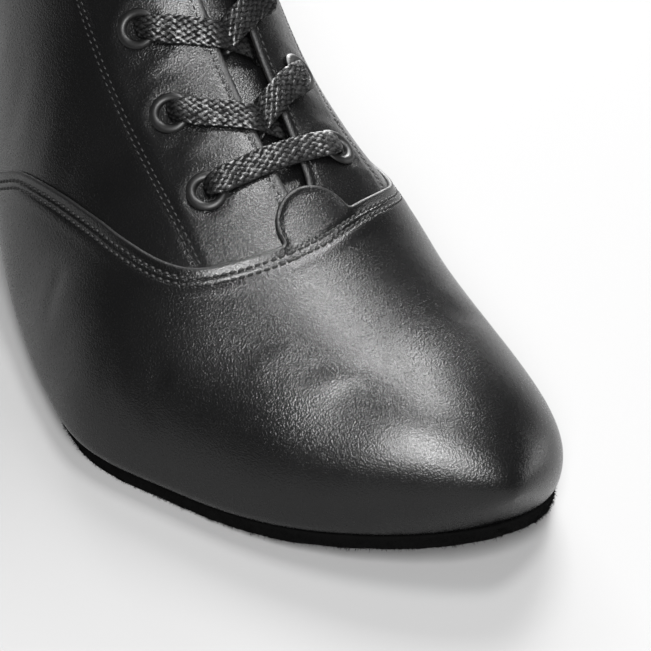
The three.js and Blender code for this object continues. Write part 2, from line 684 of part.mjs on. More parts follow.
// A flat lace through points that each carry a width along the facings, and a thickness
function laceRun(stops) {
  const corners = [[-0.5, 0], [-0.36, 0.5], [0.36, 0.5], [0.5, 0], [0.36, -0.5], [-0.36, -0.5]];
  const vertices = [];
  stops.forEach((stop, i) => {
    const before = stops[Math.max(i - 1, 0)].point;
    const after = stops[Math.min(i + 1, stops.length - 1)].point;
    const tangent = after.clone().sub(before).normalize();
    const thick = stop.up.clone().cross(tangent).normalize();
    corners.forEach(([a, b]) => {
      const p = stop.point.clone().addScaledVector(stop.up, a * stop.width).addScaledVector(thick, b * stop.thickness);
      vertices.push(p.x, p.y, p.z);
    });
  });
  const n = corners.length;
  const triangles = [];
  for (let i = 0; i < stops.length - 1; i += 1) {
    for (let j = 0; j < n; j += 1) {
      const k = (j + 1) % n;
      triangles.push(i * n + j, i * n + k, (i + 1) * n + k, i * n + j, (i + 1) * n + k, (i + 1) * n + j);
    }
  }
  const e = (stops.length - 1) * n;
  for (let j = 1; j < n - 1; j += 1) {
    triangles.push(0, j + 1, j, e, e + j, e + j + 1);
  }
  return solid(vertices, triangles);
}

// Heights of the lace's middle over the quarter's surface, worked out from the eyelet, the wall and the clearance
const OVER_FLANGE = EYELET_SEAT + EYELET_RISE + CLEARANCE + LACE_THICKNESS / 2;
const OVER_LEATHER = 1.5 * CLEARANCE + LACE_THICKNESS / 2;
const UNDER_WALL = -WALL - CLEARANCE - LACE_THICKNESS / 2 - 0.05;
const CROSSING = 0.42 * LACE_THICKNESS;

// A stop of the lace: length up the ridge, distance round from it, height over the quarter's surface
function laceStop(length, round, height, width, thickness) {
  const { point, normal, up } = onForm(ridgePlace(length), round);
  return { point: point.clone().addScaledVector(normal, height - VAMP_STEP), up, width, thickness };
}
const laceWide = (round, length, height, slope) => laceStop(length, round, height, LACE_WIDTH * Math.hypot(1, slope), LACE_THICKNESS);

// The stops from inside an eyelet's bore, over its flange, to the facing beside it, square to the eyelet's own axis
function overEyelet(hand, row, slope) {
  const { point, normal, up } = onForm(ridgePlace(eyeLength(hand, row)), eyeRound(hand, row));
  const inwards = up.clone().cross(normal).normalize().multiplyScalar(-hand);
  const stop = (distance, height, width) => ({
    point: point.clone().addScaledVector(inwards, distance).addScaledVector(up, slope * distance)
      .addScaledVector(normal, height - VAMP_STEP),
    up,
    width,
    thickness: LACE_THICKNESS,
  });
  return [
    stop(0, UNDER_WALL, LACE_BUNCHED),
    stop(0.2, EYELET_SEAT + EYELET_RISE, LACE_BUNCHED),
    stop(1.8, OVER_FLANGE + 0.15, 0.8 * LACE_WIDTH),
    stop(EYELET_FLANGE - 0.4, OVER_FLANGE, LACE_WIDTH * Math.hypot(1, slope)),
  ];
}

// The line of a run from one eyelet to another: its rise for each millimetre round, and its length at a round
function runLine(hand, row, nextHand, nextRow) {
  const round = eyeRound(hand, row);
  const length = eyeLength(hand, row);
  const rise = (eyeLength(nextHand, nextRow) - length) / (eyeRound(nextHand, nextRow) - round);
  return { round, rise, lengthAt: (place) => length + rise * (place - round) };
}
const BESIDE = EYELET_FLANGE + 0.6 * LACE_THICKNESS + 0.35 * LACE_WIDTH;
function bottomBar() {
  const { rise, lengthAt } = runLine(-1, 0, 1, 0);
  const middle = [eyeRound(-1, 0) + BESIDE, EYELET_SHIFT, eyeRound(1, 0) - BESIDE]
    .map((round) => laceWide(round, lengthAt(round), OVER_LEATHER + 0.4, rise));
  return laceRun([...overEyelet(-1, 0, rise), ...middle, ...overEyelet(1, 0, -rise).reverse()]);
}

// A run from inside one row, out at the facing's edge, over the throat and into the next row's eyelet from outside
function crossingRun(row, hand, crossingHeight) {
  const { round: eye, rise, lengthAt } = runLine(hand, row, -hand, row + 1);
  const half = throatGap((eyeLength(hand, row) + eyeLength(-hand, row + 1)) / 2) / 2;
  const at = (round, height) => laceWide(round, lengthAt(round), height, rise);
  const start = at(eye + hand * 1.6, UNDER_WALL);
  start.width = LACE_BUNCHED;
  const edge = hand * half;
  const beside = eyeRound(-hand, row + 1) + hand * BESIDE;
  const stops = [
    start,
    at(eye - hand * EYELET_SPREAD / 6, UNDER_WALL),
    at(edge - hand * 0.6, UNDER_WALL),
    at(edge - hand * 2.2, -0.7 * WALL),
    at(0, crossingHeight),
    at(-edge + hand * 0.3, OVER_LEATHER + 0.25),
    at(beside, OVER_LEATHER + 0.45),
  ];
  return laceRun([...stops, ...overEyelet(-hand, row + 1, hand * rise).reverse()]);
}

let laces = bottomBar();
for (let row = 0; row < EYELET_PAIRS - 1; row += 1) {
  laces = laces.add(crossingRun(row, -1, CROSSING)).add(crossingRun(row, 1, -CROSSING));
}

put('outsole', toGeometry(outsole), suede);
put('heel_block', toGeometry(heelBlock), heelLeather);
put('heel_top_piece', toGeometry(topPiece), rubber);
put('insole', toGeometry(insole), lining);
put('upper', toGeometry(upper), leather);
put('tongue', toGeometry(tongueSolid()), leather);
put('laces', toGeometry(laces), waxedCord);
eyeletPlaces.forEach((pair, i) => {
  for (const side of ['lateral', 'medial']) {
    const { point, normal } = pair[side];
    const mesh = put(`eyelet_${side}_${i + 1}`, eyeletGeometry(), blackMetal);
    mesh.position.copy(point).addScaledVector(normal, EYELET_SEAT);
    mesh.quaternion.setFromUnitVectors(new THREE.Vector3(0, 0, 1), normal);
  }
});

// The origin is the middle of the boot's box, on the floor
boot.updateMatrixWorld(true);
const box = new THREE.Box3().setFromObject(boot, true);
boot.position.set(-(box.min.x + box.max.x) / 2, -(box.min.y + box.max.y) / 2, -box.min.z);
boot.updateMatrixWorld(true);

export default boot;
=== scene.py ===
import math

import bmesh
import bpy
import numpy as np
from mathutils import Matrix, Vector


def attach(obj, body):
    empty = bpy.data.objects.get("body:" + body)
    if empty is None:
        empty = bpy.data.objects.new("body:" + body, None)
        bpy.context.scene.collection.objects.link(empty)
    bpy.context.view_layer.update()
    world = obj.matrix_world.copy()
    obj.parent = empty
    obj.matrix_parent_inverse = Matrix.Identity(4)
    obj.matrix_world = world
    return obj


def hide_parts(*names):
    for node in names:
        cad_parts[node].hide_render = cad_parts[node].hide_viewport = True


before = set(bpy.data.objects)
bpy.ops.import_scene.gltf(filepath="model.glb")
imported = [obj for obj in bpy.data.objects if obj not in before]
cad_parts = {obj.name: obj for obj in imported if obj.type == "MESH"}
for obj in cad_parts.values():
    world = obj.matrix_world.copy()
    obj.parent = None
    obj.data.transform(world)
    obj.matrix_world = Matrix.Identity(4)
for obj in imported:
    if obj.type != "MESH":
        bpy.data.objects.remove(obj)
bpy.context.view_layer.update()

# Camera, at the photograph's angle and a little rolled
AZIMUTH, ELEVATION, ROLL = math.radians(61.13), math.radians(42.13), math.radians(6.07)
TARGET = Vector((-0.0087, 0.0563, -0.0588))
DISTANCE, LENS, SENSOR = 0.9, 175.3, 36.0


def make_camera():
    """Camera axes: d points from the target to the camera, right is square to d and to the vertical, up
    is square to both, and right and up are then turned about d by the roll."""
    flat = math.cos(ELEVATION)
    d = Vector((math.sin(AZIMUTH) * flat, -math.cos(AZIMUTH) * flat, math.sin(ELEVATION)))
    right = (-d).cross(Vector((0, 0, 1))).normalized()
    up = right.cross(-d)
    rolled_right = math.cos(ROLL) * right + math.sin(ROLL) * up
    rolled_up = math.cos(ROLL) * up - math.sin(ROLL) * right
    data = bpy.data.cameras.new("camera")
    data.sensor_width = SENSOR
    data.lens = LENS
    data.clip_start = 0.01
    data.clip_end = 50
    camera = bpy.data.objects.new("camera", data)
    bpy.context.scene.collection.objects.link(camera)
    turn = Matrix((rolled_right, rolled_up, d)).transposed().to_4x4()
    camera.matrix_world = Matrix.Translation(TARGET + d * DISTANCE) @ turn
    bpy.context.scene.camera = camera


make_camera()

# The upper's form, in millimetres from the back of the heel
LENGTH = 285.0
BALL_WIDTH = 103.0
INSTEP_HEIGHT = 112.0
SHAFT_HEIGHT = 173.0
SEAT_HEIGHT = 28.0
TOE_TIP = 24.3
TOE_SPRING = 11.2
WALL = 1.6
VAMP_STEP = 0.8
CLEARANCE = 0.3
SOLE = 4.2
SOLE_PROUD = 0.8
INSOLE = 2.5
HEEL_LENGTH = 66.0
TOP_PIECE = 5.0
HEEL_TAPER = 0.93
TOE_START, TOE_PLAN, TOE_PROFILE = 0.782, 2.64, 4.5
FLAT_FROM, FLAT_TO, SEAT_FROM = 0.60, 0.755, 0.26
SPRING_POWER = 2.8
HEEL_ROUND, HEEL_TUCK = 0.119, 0.014
THROAT_START = 0.7123 * LENGTH
THROAT_BOTTOM, THROAT_TOP = 6.0, 15.0
EYELET_PAIRS, EYELET_FIRST, EYELET_LAST, EYELET_STAGGER = 7, 9.0, 9.3, 3.6
EYELET_SPREAD, EYELET_SHIFT = 37.2, -2.6
EYELET_FLANGE, EYELET_BORE, EYELET_METAL, EYELET_RISE, EYELET_SEAT = 5.2, 2.7, 0.6, 0.9, 0.45
LACE_WIDTH, LACE_THICKNESS, LACE_BUNCHED = 7.0, 1.3, 4.2
BRAID_PITCH, BRAID_STEP = 2.5, 1.6
TONGUE, TONGUE_WIDTH, TONGUE_ABOVE, TONGUE_LAP = 2.5, 60.0, 10.0, 26.0
LOWEST = SOLE + CLEARANCE
CENTRING = np.array([-142.8963, 1.0934, 0.0])

# One row for each section, from the toe to the collar: top x, top rise, bottom x, back rise, lateral and
# medial half width, sole share, height of the widest place, the powers of the lower curve, the upper
# curve and the side, and how far the middle and the ridge lie to the medial side. The rows up to the
# seat's last stand on the sole.
SECTIONS = np.array([
    [1.000, 0.355, 0.988, 0.00, 0.750, 0.765, 0.92, 0.13, 2.2, 2.30, 2.00, 0.515, 0.515],
    [0.919, 0.390, 0.912, 0.00, 0.855, 0.815, 0.93, 0.10, 2.2, 1.95, 2.00, 0.325, 0.350],
    [0.842, 0.425, 0.835, 0.00, 0.930, 0.885, 0.93, 0.09, 2.2, 1.95, 2.00, 0.150, 0.190],
    [0.765, 0.485, 0.758, 0.00, 1.095, 0.895, 0.93, 0.09, 2.2, 1.95, 2.00, 0.050, 0.120],
    [0.702, 0.555, 0.681, 0.00, 1.085, 0.870, 0.91, 0.10, 2.2, 2.00, 2.00, 0.000, 0.115],
    [0.646, 0.615, 0.596, 0.00, 1.030, 0.790, 0.87, 0.14, 2.2, 1.90, 1.95, -0.02, 0.110],
    [0.589, 0.690, 0.512, 0.00, 0.955, 0.695, 0.82, 0.24, 2.2, 1.85, 1.90, -0.04, 0.100],
    [0.537, 0.785, 0.421, 0.00, 0.860, 0.645, 0.79, 0.27, 2.2, 1.85, 1.90, -0.03, 0.090],
    [0.494, 0.890, 0.323, 0.00, 0.765, 0.635, 0.82, 0.28, 2.2, 1.85, 1.90, -0.01, 0.070],
    [0.460, 1.000, 0.210, 0.00, 0.695, 0.675, 0.88, 0.30, 2.2, 1.85, 1.90, 0.00, 0.050],
    [0.437, 1.330, 0.098, 0.00, 0.675, 0.660, 0.90, 0.34, 2.2, 1.85, 1.90, 0.00, 0.030],
    [0.423, 1.530, 0.014, 0.00, 0.655, 0.640, 0.50, 0.40, 2.3, 1.90, 1.90, 0.00, 0.020],
    [0.413, 1.680, 0.000, 0.17, 0.635, 0.625, 0.02, 0.42, 2.3, 1.90, 1.90, 0.00, 0.010],
    [0.406, 1.800, 0.014, 0.37, 0.615, 0.610, 0.02, 0.44, 2.2, 2.00, 1.90, 0.00, 0.000],
    [0.401, 1.900, 0.032, 0.60, 0.615, 0.615, 0.02, 0.46, 2.1, 2.00, 2.00, 0.00, 0.000],
    [0.397, 2.000, 0.028, 0.96, 0.650, 0.650, 0.02, 0.48, 2.0, 2.00, 2.00, 0.00, 0.000],
])
SEAT_ROWS = 11


def ease(q):
    """Smooth step: 3q squared minus 2q cubed, held at 0 and 1."""
    q = np.clip(q, 0, 1)
    return q * q * (3 - 2 * q)


def bell(distance, width):
    """Bell curve of a distance: e to the minus (distance over width) squared."""
    return np.exp(-((distance / width) ** 2))


def seat(x):
    """Height of the upper's bottom: flat under the ball, a power curve up to the toe, and a smooth step
    up to the heel."""
    share = np.asarray(x) / LENGTH
    spring = TOE_SPRING * np.clip((share - FLAT_TO) / (1 - FLAT_TO), 0, None) ** SPRING_POWER
    return LOWEST + spring + (SEAT_HEIGHT - LOWEST) * ease((FLAT_FROM - share) / (FLAT_FROM - SEAT_FROM))


def table_columns():
    """The table in millimetres, one array for each column."""
    c = SECTIONS.T
    half = BALL_WIDTH / 2
    bottom_x = c[2] * LENGTH
    instep, shaft = np.minimum(c[1], 1), np.maximum(c[1] - 1, 0)
    return {
        "top_x": c[0] * LENGTH,
        "top_z": instep * INSTEP_HEIGHT + shaft * (SHAFT_HEIGHT - INSTEP_HEIGHT),
        "bottom_x": bottom_x,
        "back_z": np.where(c[3] > 0, SEAT_HEIGHT + c[3] * (SHAFT_HEIGHT - SEAT_HEIGHT), seat(bottom_x)),
        "lateral": c[4] * half, "medial": c[5] * half, "sole": c[6], "widest": c[7],
        "under": c[8], "over": c[9], "side": c[10], "centre": c[11] * half, "ridge": c[12] * half,
    }


COLUMNS = table_columns()
KNOTS = np.concatenate([[0], np.cumsum(0.5 * (
    np.hypot(np.diff(COLUMNS["top_x"]), np.diff(COLUMNS["top_z"]))
    + np.hypot(np.diff(COLUMNS["bottom_x"]), np.diff(COLUMNS["back_z"]))))])
LAST, SEAT_END = KNOTS[-1], KNOTS[SEAT_ROWS]


def through(knots, values, place):
    """Smooth curve through values at knots: cubic Hermite pieces whose slopes are the chords of the two
    neighbours."""
    values = np.asarray(values, float)
    slope = np.zeros_like(values)
    slope[1:-1] = ((values[2:] - values[:-2]).T / (knots[2:] - knots[:-2])).T
    slope[0] = (values[1] - values[0]) / (knots[1] - knots[0])
    slope[-1] = (values[-1] - values[-2]) / (knots[-1] - knots[-2])
    place = np.clip(place, knots[0], knots[-1])
    i = np.clip(np.searchsorted(knots, place, side="right") - 1, 0, len(knots) - 2)
    h = knots[i + 1] - knots[i]
    q = (place - knots[i]) / h
    parts = ((1 + 2 * q) * (1 - q) ** 2, q * (1 - q) ** 2 * h, q * q * (3 - 2 * q), q * q * (q - 1) * h)
    if values.ndim > 1:
        parts = [p[..., None] for p in parts]
    return parts[0] * values[i] + parts[1] * slope[i] + parts[2] * values[i + 1] + parts[3] * slope[i + 1]


def form(place, around):
    """Point of the upper's outside. Sections lean from the sole (or the back line) to the ridge line.
    Below the widest height a quarter ellipse leads in to the feather line, and above it the outline is a
    superellipse over the ridge. around runs from -1 at the lateral feather line over 0 on the ridge to 1
    at the medial one. Towards the tip the width falls as the root of 1 minus a power, and the height
    likewise down to the tip's height. The lean makes up for that root, so that the tip is round in
    plan."""
    place, around = np.broadcast_arrays(np.asarray(place, float), np.asarray(around, float))
    s = {name: through(KNOTS, values, place) for name, values in COLUMNS.items()}
    close = TOE_START * LENGTH
    q = np.clip((s["top_x"] - close) / (LENGTH - close), 0, 1)
    plan = np.sqrt(1 - q ** TOE_PLAN)
    bottom_z = np.where(place <= SEAT_END, seat(s["bottom_x"]), s["back_z"])
    fall, above = 1 - q ** TOE_PROFILE, s["top_z"] - TOE_TIP
    top_z = TOE_TIP + above * np.sqrt(fall)
    lean = (top_z - bottom_z) / (TOE_TIP + above * fall - bottom_z)
    width = np.where(around < 0, s["lateral"], s["medial"]) * plan
    tuck = np.clip((HEEL_ROUND - s["bottom_x"] / LENGTH) / (HEEL_ROUND - HEEL_TUCK), 0, 1)
    foot = width * s["sole"] * np.where(place > SEAT_END, 0, np.sqrt(1 - tuck * tuck))
    turn = np.radians(90 - 180 * np.abs(around))
    low = np.clip(turn + np.pi / 2, 0, np.pi / 2)
    high = np.clip(turn, 0, np.pi / 2)
    low_rise = s["widest"] * (1 - np.cos(low) ** (2 / s["under"]))
    high_rise = s["widest"] + (1 - s["widest"]) * np.sin(high) ** (2 / s["over"])
    rise = np.where(turn < 0, low_rise, high_rise)
    out = np.where(turn < 0, foot + (width - foot) * np.sin(low), width * np.cos(high) ** (2 / s["side"]))
    out = np.where(np.abs(around) < 1e-9, 0, out)
    middle = s["centre"] + (s["ridge"] - s["centre"]) * rise
    return np.stack([
        s["bottom_x"] + (s["top_x"] - s["bottom_x"]) * lean * rise,
        middle + np.sign(around) * out,
        bottom_z + (top_z - bottom_z) * rise], -1)


def unit(v):
    """Vectors divided by their length."""
    return v / np.maximum(np.linalg.norm(v, axis=-1, keepdims=True), 1e-12)


def outward(place, around):
    """Outward normal of the form: the step round the section crossed with the step towards the collar."""
    place, around = np.broadcast_arrays(np.asarray(place, float), np.asarray(around, float))
    step, swing = 0.4, 0.004
    along = form(np.minimum(place + step, LAST), around) - form(np.maximum(place - step, 0), around)
    across = form(place, np.minimum(around + swing, 1)) - form(place, np.maximum(around - swing, -1))
    return unit(np.cross(across, along))


def run(line):
    """Length along a line up to each of its points."""
    return np.concatenate([[0], np.cumsum(np.linalg.norm(np.diff(line, axis=0), axis=1))])


# Lengths on the form: up the ridge from the throat's start, and round the section from the ridge
PLACE_STEPS, ROUND_STEPS = 700, 200
PLACES = np.linspace(0, LAST, PLACE_STEPS + 1)
ROUNDS = np.linspace(-1, 1, 2 * ROUND_STEPS + 1)
NET = form(PLACES[:, None], ROUNDS[None, :])
RIDGE = NET[:, ROUND_STEPS]
RIDGE_LENGTHS = run(RIDGE) - np.interp(-THROAT_START, -RIDGE[:, 0], run(RIDGE))
RIDGE_LENGTH = RIDGE_LENGTHS[-1]
EYELET_PITCH = (RIDGE_LENGTH - EYELET_FIRST - EYELET_LAST) / (EYELET_PAIRS - 1)
ARCS = np.array([run(section) - run(section)[ROUND_STEPS] for section in NET])
ARC_REACH, ARC_PARTS = 200, 2
ARC_STOPS = np.linspace(-ARC_REACH, ARC_REACH, 2 * ARC_PARTS * ARC_REACH + 1)
ROUND_OF_ARC = np.array([np.interp(ARC_STOPS, arcs, ROUNDS) for arcs in ARCS])


def place_of(length):
    """Place on the form at a length up the ridge."""
    return np.interp(length, RIDGE_LENGTHS, PLACES)


def length_of(place):
    """Length up the ridge at a place on the form."""
    return np.interp(place, PLACES, RIDGE_LENGTHS)


def look_up(grid, rows, columns):
    """Value of a grid between its points: the mean of the four round it, weighted by nearness."""
    rows = np.clip(rows, 0, grid.shape[0] - 1.001)
    columns = np.clip(columns, 0, grid.shape[1] - 1.001)
    i, j = rows.astype(int), columns.astype(int)
    p, q = rows - i, columns - j
    upper = grid[i, j] * (1 - q) + grid[i, j + 1] * q
    return upper * (1 - p) + (grid[i + 1, j] * (1 - q) + grid[i + 1, j + 1] * q) * p


def round_of(place, arc):
    """Where round the section a length from the ridge lies, medial positive."""
    columns = (np.asarray(arc) + ARC_REACH) * ARC_PARTS
    return look_up(ROUND_OF_ARC, np.asarray(place) / LAST * PLACE_STEPS, columns)


def arc_of(place, around):
    """Length round the section from the ridge, medial positive."""
    return look_up(ARCS, np.asarray(place) / LAST * PLACE_STEPS, (np.asarray(around) + 1) * ROUND_STEPS)


def spot(length, arc, rise=0.0):
    """Point over the form at a length up the ridge and a length round from it, raised along the
    normal."""
    length, arc, rise = np.broadcast_arrays(*(np.asarray(v, float) for v in (length, arc, rise)))
    place = place_of(length)
    around = round_of(place, arc)
    return form(place, around) + outward(place, around) * rise[..., None]


def on_form(pairs):
    """Points of the form at pairs of arc and ridge length."""
    place = place_of(pairs[:, 1])
    return form(place, round_of(place, pairs[:, 0]))


def stepped(place, around, step):
    """Place and round of points moved a short way over the form: the step's parts along the form's two
    directions, found from their lengths and the angle between them."""
    reach, swing = 0.2, 0.002
    by_place = (form(place + reach, around) - form(place - reach, around)) / (2 * reach)
    low, high = np.maximum(around - swing, -1), np.minimum(around + swing, 1)
    by_round = (form(place, high) - form(place, low)) / (high - low)[..., None]
    a, b, c = (by_place ** 2).sum(-1), (by_place * by_round).sum(-1), (by_round ** 2).sum(-1)
    d, e = (by_place * step).sum(-1), (by_round * step).sum(-1)
    part = a * c - b * b
    return place + (d * c - e * b) / part, around + (e * a - d * b) / part


def near(points, line):
    """Distance of each point to the nearest point of a line, worked out in blocks of points."""
    flat = points.reshape(-1, 3)
    block_size = 3000
    blocks = np.array_split(flat, len(flat) // block_size + 1)
    away = [np.sqrt(((block[:, None] - line[None]) ** 2).sum(-1).min(1)) for block in blocks]
    return np.concatenate(away).reshape(points.shape[:-1])


def evenly(line, step):
    """A line's points spaced evenly by length, about a step apart."""
    lengths = run(line)
    wanted = np.linspace(0, lengths[-1], max(int(round(lengths[-1] / step)), 1) + 1)
    return np.stack([np.interp(wanted, lengths, column) for column in line.T], -1)


def soften(values, sigma):
    """Running mean of an array's rows with bell-shaped weights, the ends held."""
    reach = int(3 * sigma) + 1
    weights = np.exp(-0.5 * (np.arange(-reach, reach + 1) / sigma) ** 2)
    padded = np.concatenate([np.repeat(values[:1], reach, 0), values, np.repeat(values[-1:], reach, 0)])
    columns = padded.reshape(len(padded), -1).T
    smooth = [np.convolve(column, weights / weights.sum(), "valid") for column in columns]
    return np.stack(smooth, -1).reshape(values.shape)


def tangents(line):
    """Unit direction of a line at each of its points, from its neighbours."""
    return unit(np.gradient(line, axis=0))


class Skin:
    """Collects grids of points and the faces between them, and makes one mesh in metres in the part's
    frame."""

    def __init__(self):
        self.points, self.faces, self.values, self.count = [], [], {}, 0

    def grid(self, points, **values):
        """Adds a grid of points in millimetres, with values for each, and returns their numbers."""
        shape = points.shape[:-1]
        number = int(np.prod(shape))
        index = np.arange(self.count, self.count + number).reshape(shape)
        for name in set(values) | set(self.values):
            known = self.values.setdefault(name, [np.zeros(self.count)] if self.count else [])
            known.append(np.broadcast_to(np.asarray(values.get(name, 0.0), float), shape).ravel())
        self.points.append(points.reshape(-1, 3))
        self.count += number
        return index

    def quads(self, index, flip=False, wrap=False):
        """Faces between neighbours of a grid of numbers. wrap joins the last column to the first."""
        if wrap:
            index = np.concatenate([index, index[:, :1]], 1)
        a, b, c, d = index[:-1, :-1], index[:-1, 1:], index[1:, 1:], index[1:, :-1]
        corners = (a, d, c, b) if flip else (a, b, c, d)
        self.faces.append(np.stack(corners, -1).reshape(-1, 4))

    def strip(self, first, second, flip=False):
        """Faces between two lines of numbers of the same count."""
        self.quads(np.stack([first, second]), flip)

    def piece(self, name, material, weld=0.0):
        """The mesh as an object that rides on the boot. Points closer than weld metres become one."""
        points = (np.concatenate(self.points) + CENTRING) * 0.001
        faces = np.concatenate(self.faces)
        used, numbers = np.unique(faces, return_inverse=True)
        faces = numbers.reshape(faces.shape)
        mesh = bpy.data.meshes.new(name)
        mesh.vertices.add(len(used))
        mesh.vertices.foreach_set("co", points[used].astype(np.float32).ravel())
        mesh.loops.add(faces.size)
        mesh.loops.foreach_set("vertex_index", faces.astype(np.int32).ravel())
        mesh.polygons.add(len(faces))
        mesh.polygons.foreach_set("loop_start", np.arange(0, faces.size, 4, dtype=np.int32))
        mesh.polygons.foreach_set("use_smooth", np.full(len(faces), True))
        for value_name, parts in self.values.items():
            layer = mesh.attributes.new(value_name, "FLOAT", "POINT")
            layer.data.foreach_set("value", np.concatenate(parts)[used].astype(np.float32))
        mesh.update(calc_edges=True)
        mesh.validate()
        if weld:
            work = bmesh.new()
            work.from_mesh(mesh)
            bmesh.ops.remove_doubles(work, verts=work.verts, dist=weld)
            bmesh.ops.dissolve_degenerate(work, edges=work.edges, dist=weld / 2)
            work.to_mesh(mesh)
            work.free()
        mesh.materials.append(material)
        made = bpy.data.objects.new(name, mesh)
        bpy.context.scene.collection.objects.link(made)
        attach(made, "root")
        return made


# Finishes


class Value:
    """A node socket. Arithmetic on it adds Math nodes."""

    def __init__(self, finish, socket):
        self.finish, self.socket = finish, socket

    def maths(self, operation, *values):
        return self.finish.node("ShaderNodeMath", {"operation": operation}, dict(enumerate(values)))[0]

    def __add__(self, other):
        return self.maths("ADD", self, other)

    def __sub__(self, other):
        return self.maths("SUBTRACT", self, other)

    def __rsub__(self, other):
        return self.maths("SUBTRACT", other, self)

    def __mul__(self, other):
        return self.maths("MULTIPLY", self, other)

    def __truediv__(self, other):
        return self.maths("DIVIDE", self, other)

    def __pow__(self, other):
        return self.maths("POWER", self, other)

    __radd__ = __add__
    __rmul__ = __mul__

    def most(self, other):
        return self.maths("MAXIMUM", self, other)

    def cosine(self):
        return self.maths("COSINE", self)

    def rounded_down(self):
        return self.maths("FLOOR", self)

    def held(self):
        """The value kept between 0 and 1."""
        return self.maths("MAXIMUM", self.maths("MINIMUM", self, 1.0), 0.0)


class Finish:
    """A material made of nodes, with its uniform values set on the shader."""

    def __init__(self, name, **uniform):
        self.material = bpy.data.materials.new(name)
        self.material.use_nodes = True
        self.tree = self.material.node_tree
        self.shader = self.tree.nodes["Principled BSDF"]
        for key, value in uniform.items():
            self.shader.inputs[key.replace("_", " ").title().replace("Ior", "IOR")].default_value = value

    def node(self, kind, settings=None, inputs=None):
        """Adds a node: its settings first, then the values or links of its sockets. Returns its
        outputs."""
        made = self.tree.nodes.new(kind)
        for key, value in (settings or {}).items():
            setattr(made, key, value)
        for key, value in (inputs or {}).items():
            socket = made.inputs[key]
            if isinstance(value, Value):
                self.tree.links.new(value.socket, socket)
            else:
                socket.default_value = value
        return [Value(self, out) for out in made.outputs if out.enabled]

    def place(self):
        """Object coordinates, in metres."""
        return self.node("ShaderNodeTexCoord")[3]

    def given(self, name):
        """A value stored on the mesh."""
        return self.node("ShaderNodeAttribute", {"attribute_name": name})[2]

    def noise(self, scale, detail=3.0, roughness=0.55, where=None):
        """Clouds, so many to a metre, between 0 and 1."""
        return self.node("ShaderNodeTexNoise", {}, {
            "Vector": where or self.place(), "Scale": scale, "Detail": detail, "Roughness": roughness})[0]

    def cells(self, scale, smoothness, where=None):
        """Distance to the nearest of scattered points, so many to a metre, its edges smoothed."""
        return self.node("ShaderNodeTexVoronoi", {"feature": "SMOOTH_F1"}, {
            "Vector": where or self.place(), "Scale": scale, "Smoothness": smoothness})[0]

    def shade(self, dark, light, share):
        """A colour between two, by a share. A number stands for a grey."""
        dark, light = ((c, c, c, 1.0) if isinstance(c, float) else (*c, 1.0) for c in (dark, light))
        mixed = self.node("ShaderNodeMix", {"data_type": "RGBA"}, {0: share, 6: dark, 7: light})
        return Value(self, mixed[0].socket.node.outputs[2])

    def feed(self, **links):
        """Links values to the shader's sockets."""
        for key, value in links.items():
            self.tree.links.new(value.socket, self.shader.inputs[key.replace("_", " ").title()])
        return self.material

    def bump(self, height, distance, strength):
        """Normal tilted by a height, in shares of a distance in metres."""
        return self.node("ShaderNodeBump", {}, {
            "Height": height, "Distance": distance, "Strength": strength})[0]


def leather_finish():
    """Black nappa: rounded grain cells about 0.5 mm wide, finer cells between them, soft cloudy gloss,
    and a slightly lighter, rubbed rim along cut and folded edges."""
    f = Finish("black_nappa", specular_ior_level=0.3, coat_roughness=0.3, coat_ior=1.45)
    where = f.place()
    grain = f.cells(2300, 0.25, where)
    fine = f.cells(4300, 0.2, where)
    cloud = f.noise(38, 3, 0.55, where)
    rub = (1 - f.given("edge") * 0.9).held()
    worn = (cloud * 0.8 + rub * 0.7 - 0.1).held()
    colour = f.shade((0.0009, 0.0009, 0.00095), (0.003, 0.003, 0.0031), worn)
    rough = 0.24 + (cloud - 0.5) * 0.07 + (grain - 0.4) * 0.10 + rub * 0.30
    pebbled = f.bump(grain * 0.7 + fine * 0.3, 0.00013, 0.75)
    gloss = (0.05 + cloud * 0.12) * (1 - rub)
    return f.feed(base_color=colour, roughness=rough, coat_weight=gloss, normal=pebbled)


def lining_finish():
    """Dark soft leather lining: fine nap, matt."""
    f = Finish("dark_lining", specular_ior_level=0.2)
    where = f.place()
    nap = f.noise(2600, 4, 0.65, where)
    cloud = f.noise(60, 3, 0.5, where)
    colour = f.shade((0.0045, 0.0041, 0.0038), (0.0095, 0.0086, 0.008), (cloud * 0.7 + nap * 0.3).held())
    return f.feed(base_color=colour, roughness=0.72 + nap * 0.15, normal=f.bump(nap, 0.0001, 0.5))


def suede_finish():
    """Black suede: short ragged nap, no gloss."""
    f = Finish("black_suede", specular_ior_level=0.05)
    where = f.place()
    nap = f.noise(1900, 5, 0.7, where)
    patch = f.noise(140, 3, 0.6, where)
    colour = f.shade(0.0002, 0.0014, (patch * 0.6 + nap * 0.5 - 0.1).held())
    return f.feed(base_color=colour, roughness=0.92 + nap * 0.06, normal=f.bump(nap, 0.0003, 0.9))


def thread_finish():
    """Waxed black thread: fine ply lines along it."""
    f = Finish("black_thread", specular_ior_level=0.22)
    ply = f.noise(3500, 2, 0.5)
    colour = f.shade(0.0015, 0.008, ply)
    return f.feed(base_color=colour, roughness=0.42 + ply * 0.2, normal=f.bump(ply, 0.00005, 0.6))


def enamel_finish():
    """Black satin enamel over metal, with faint brush marks and orange peel."""
    f = Finish("black_enamel", specular_ior_level=0.22, coat_roughness=0.3)
    peel = f.noise(900, 3, 0.5)
    colour = f.shade(0.0015, 0.004, peel)
    return f.feed(base_color=colour, roughness=0.40 + peel * 0.12, coat_weight=0.02 + peel * 0.1,
                  normal=f.bump(peel, 0.00005, 0.3))


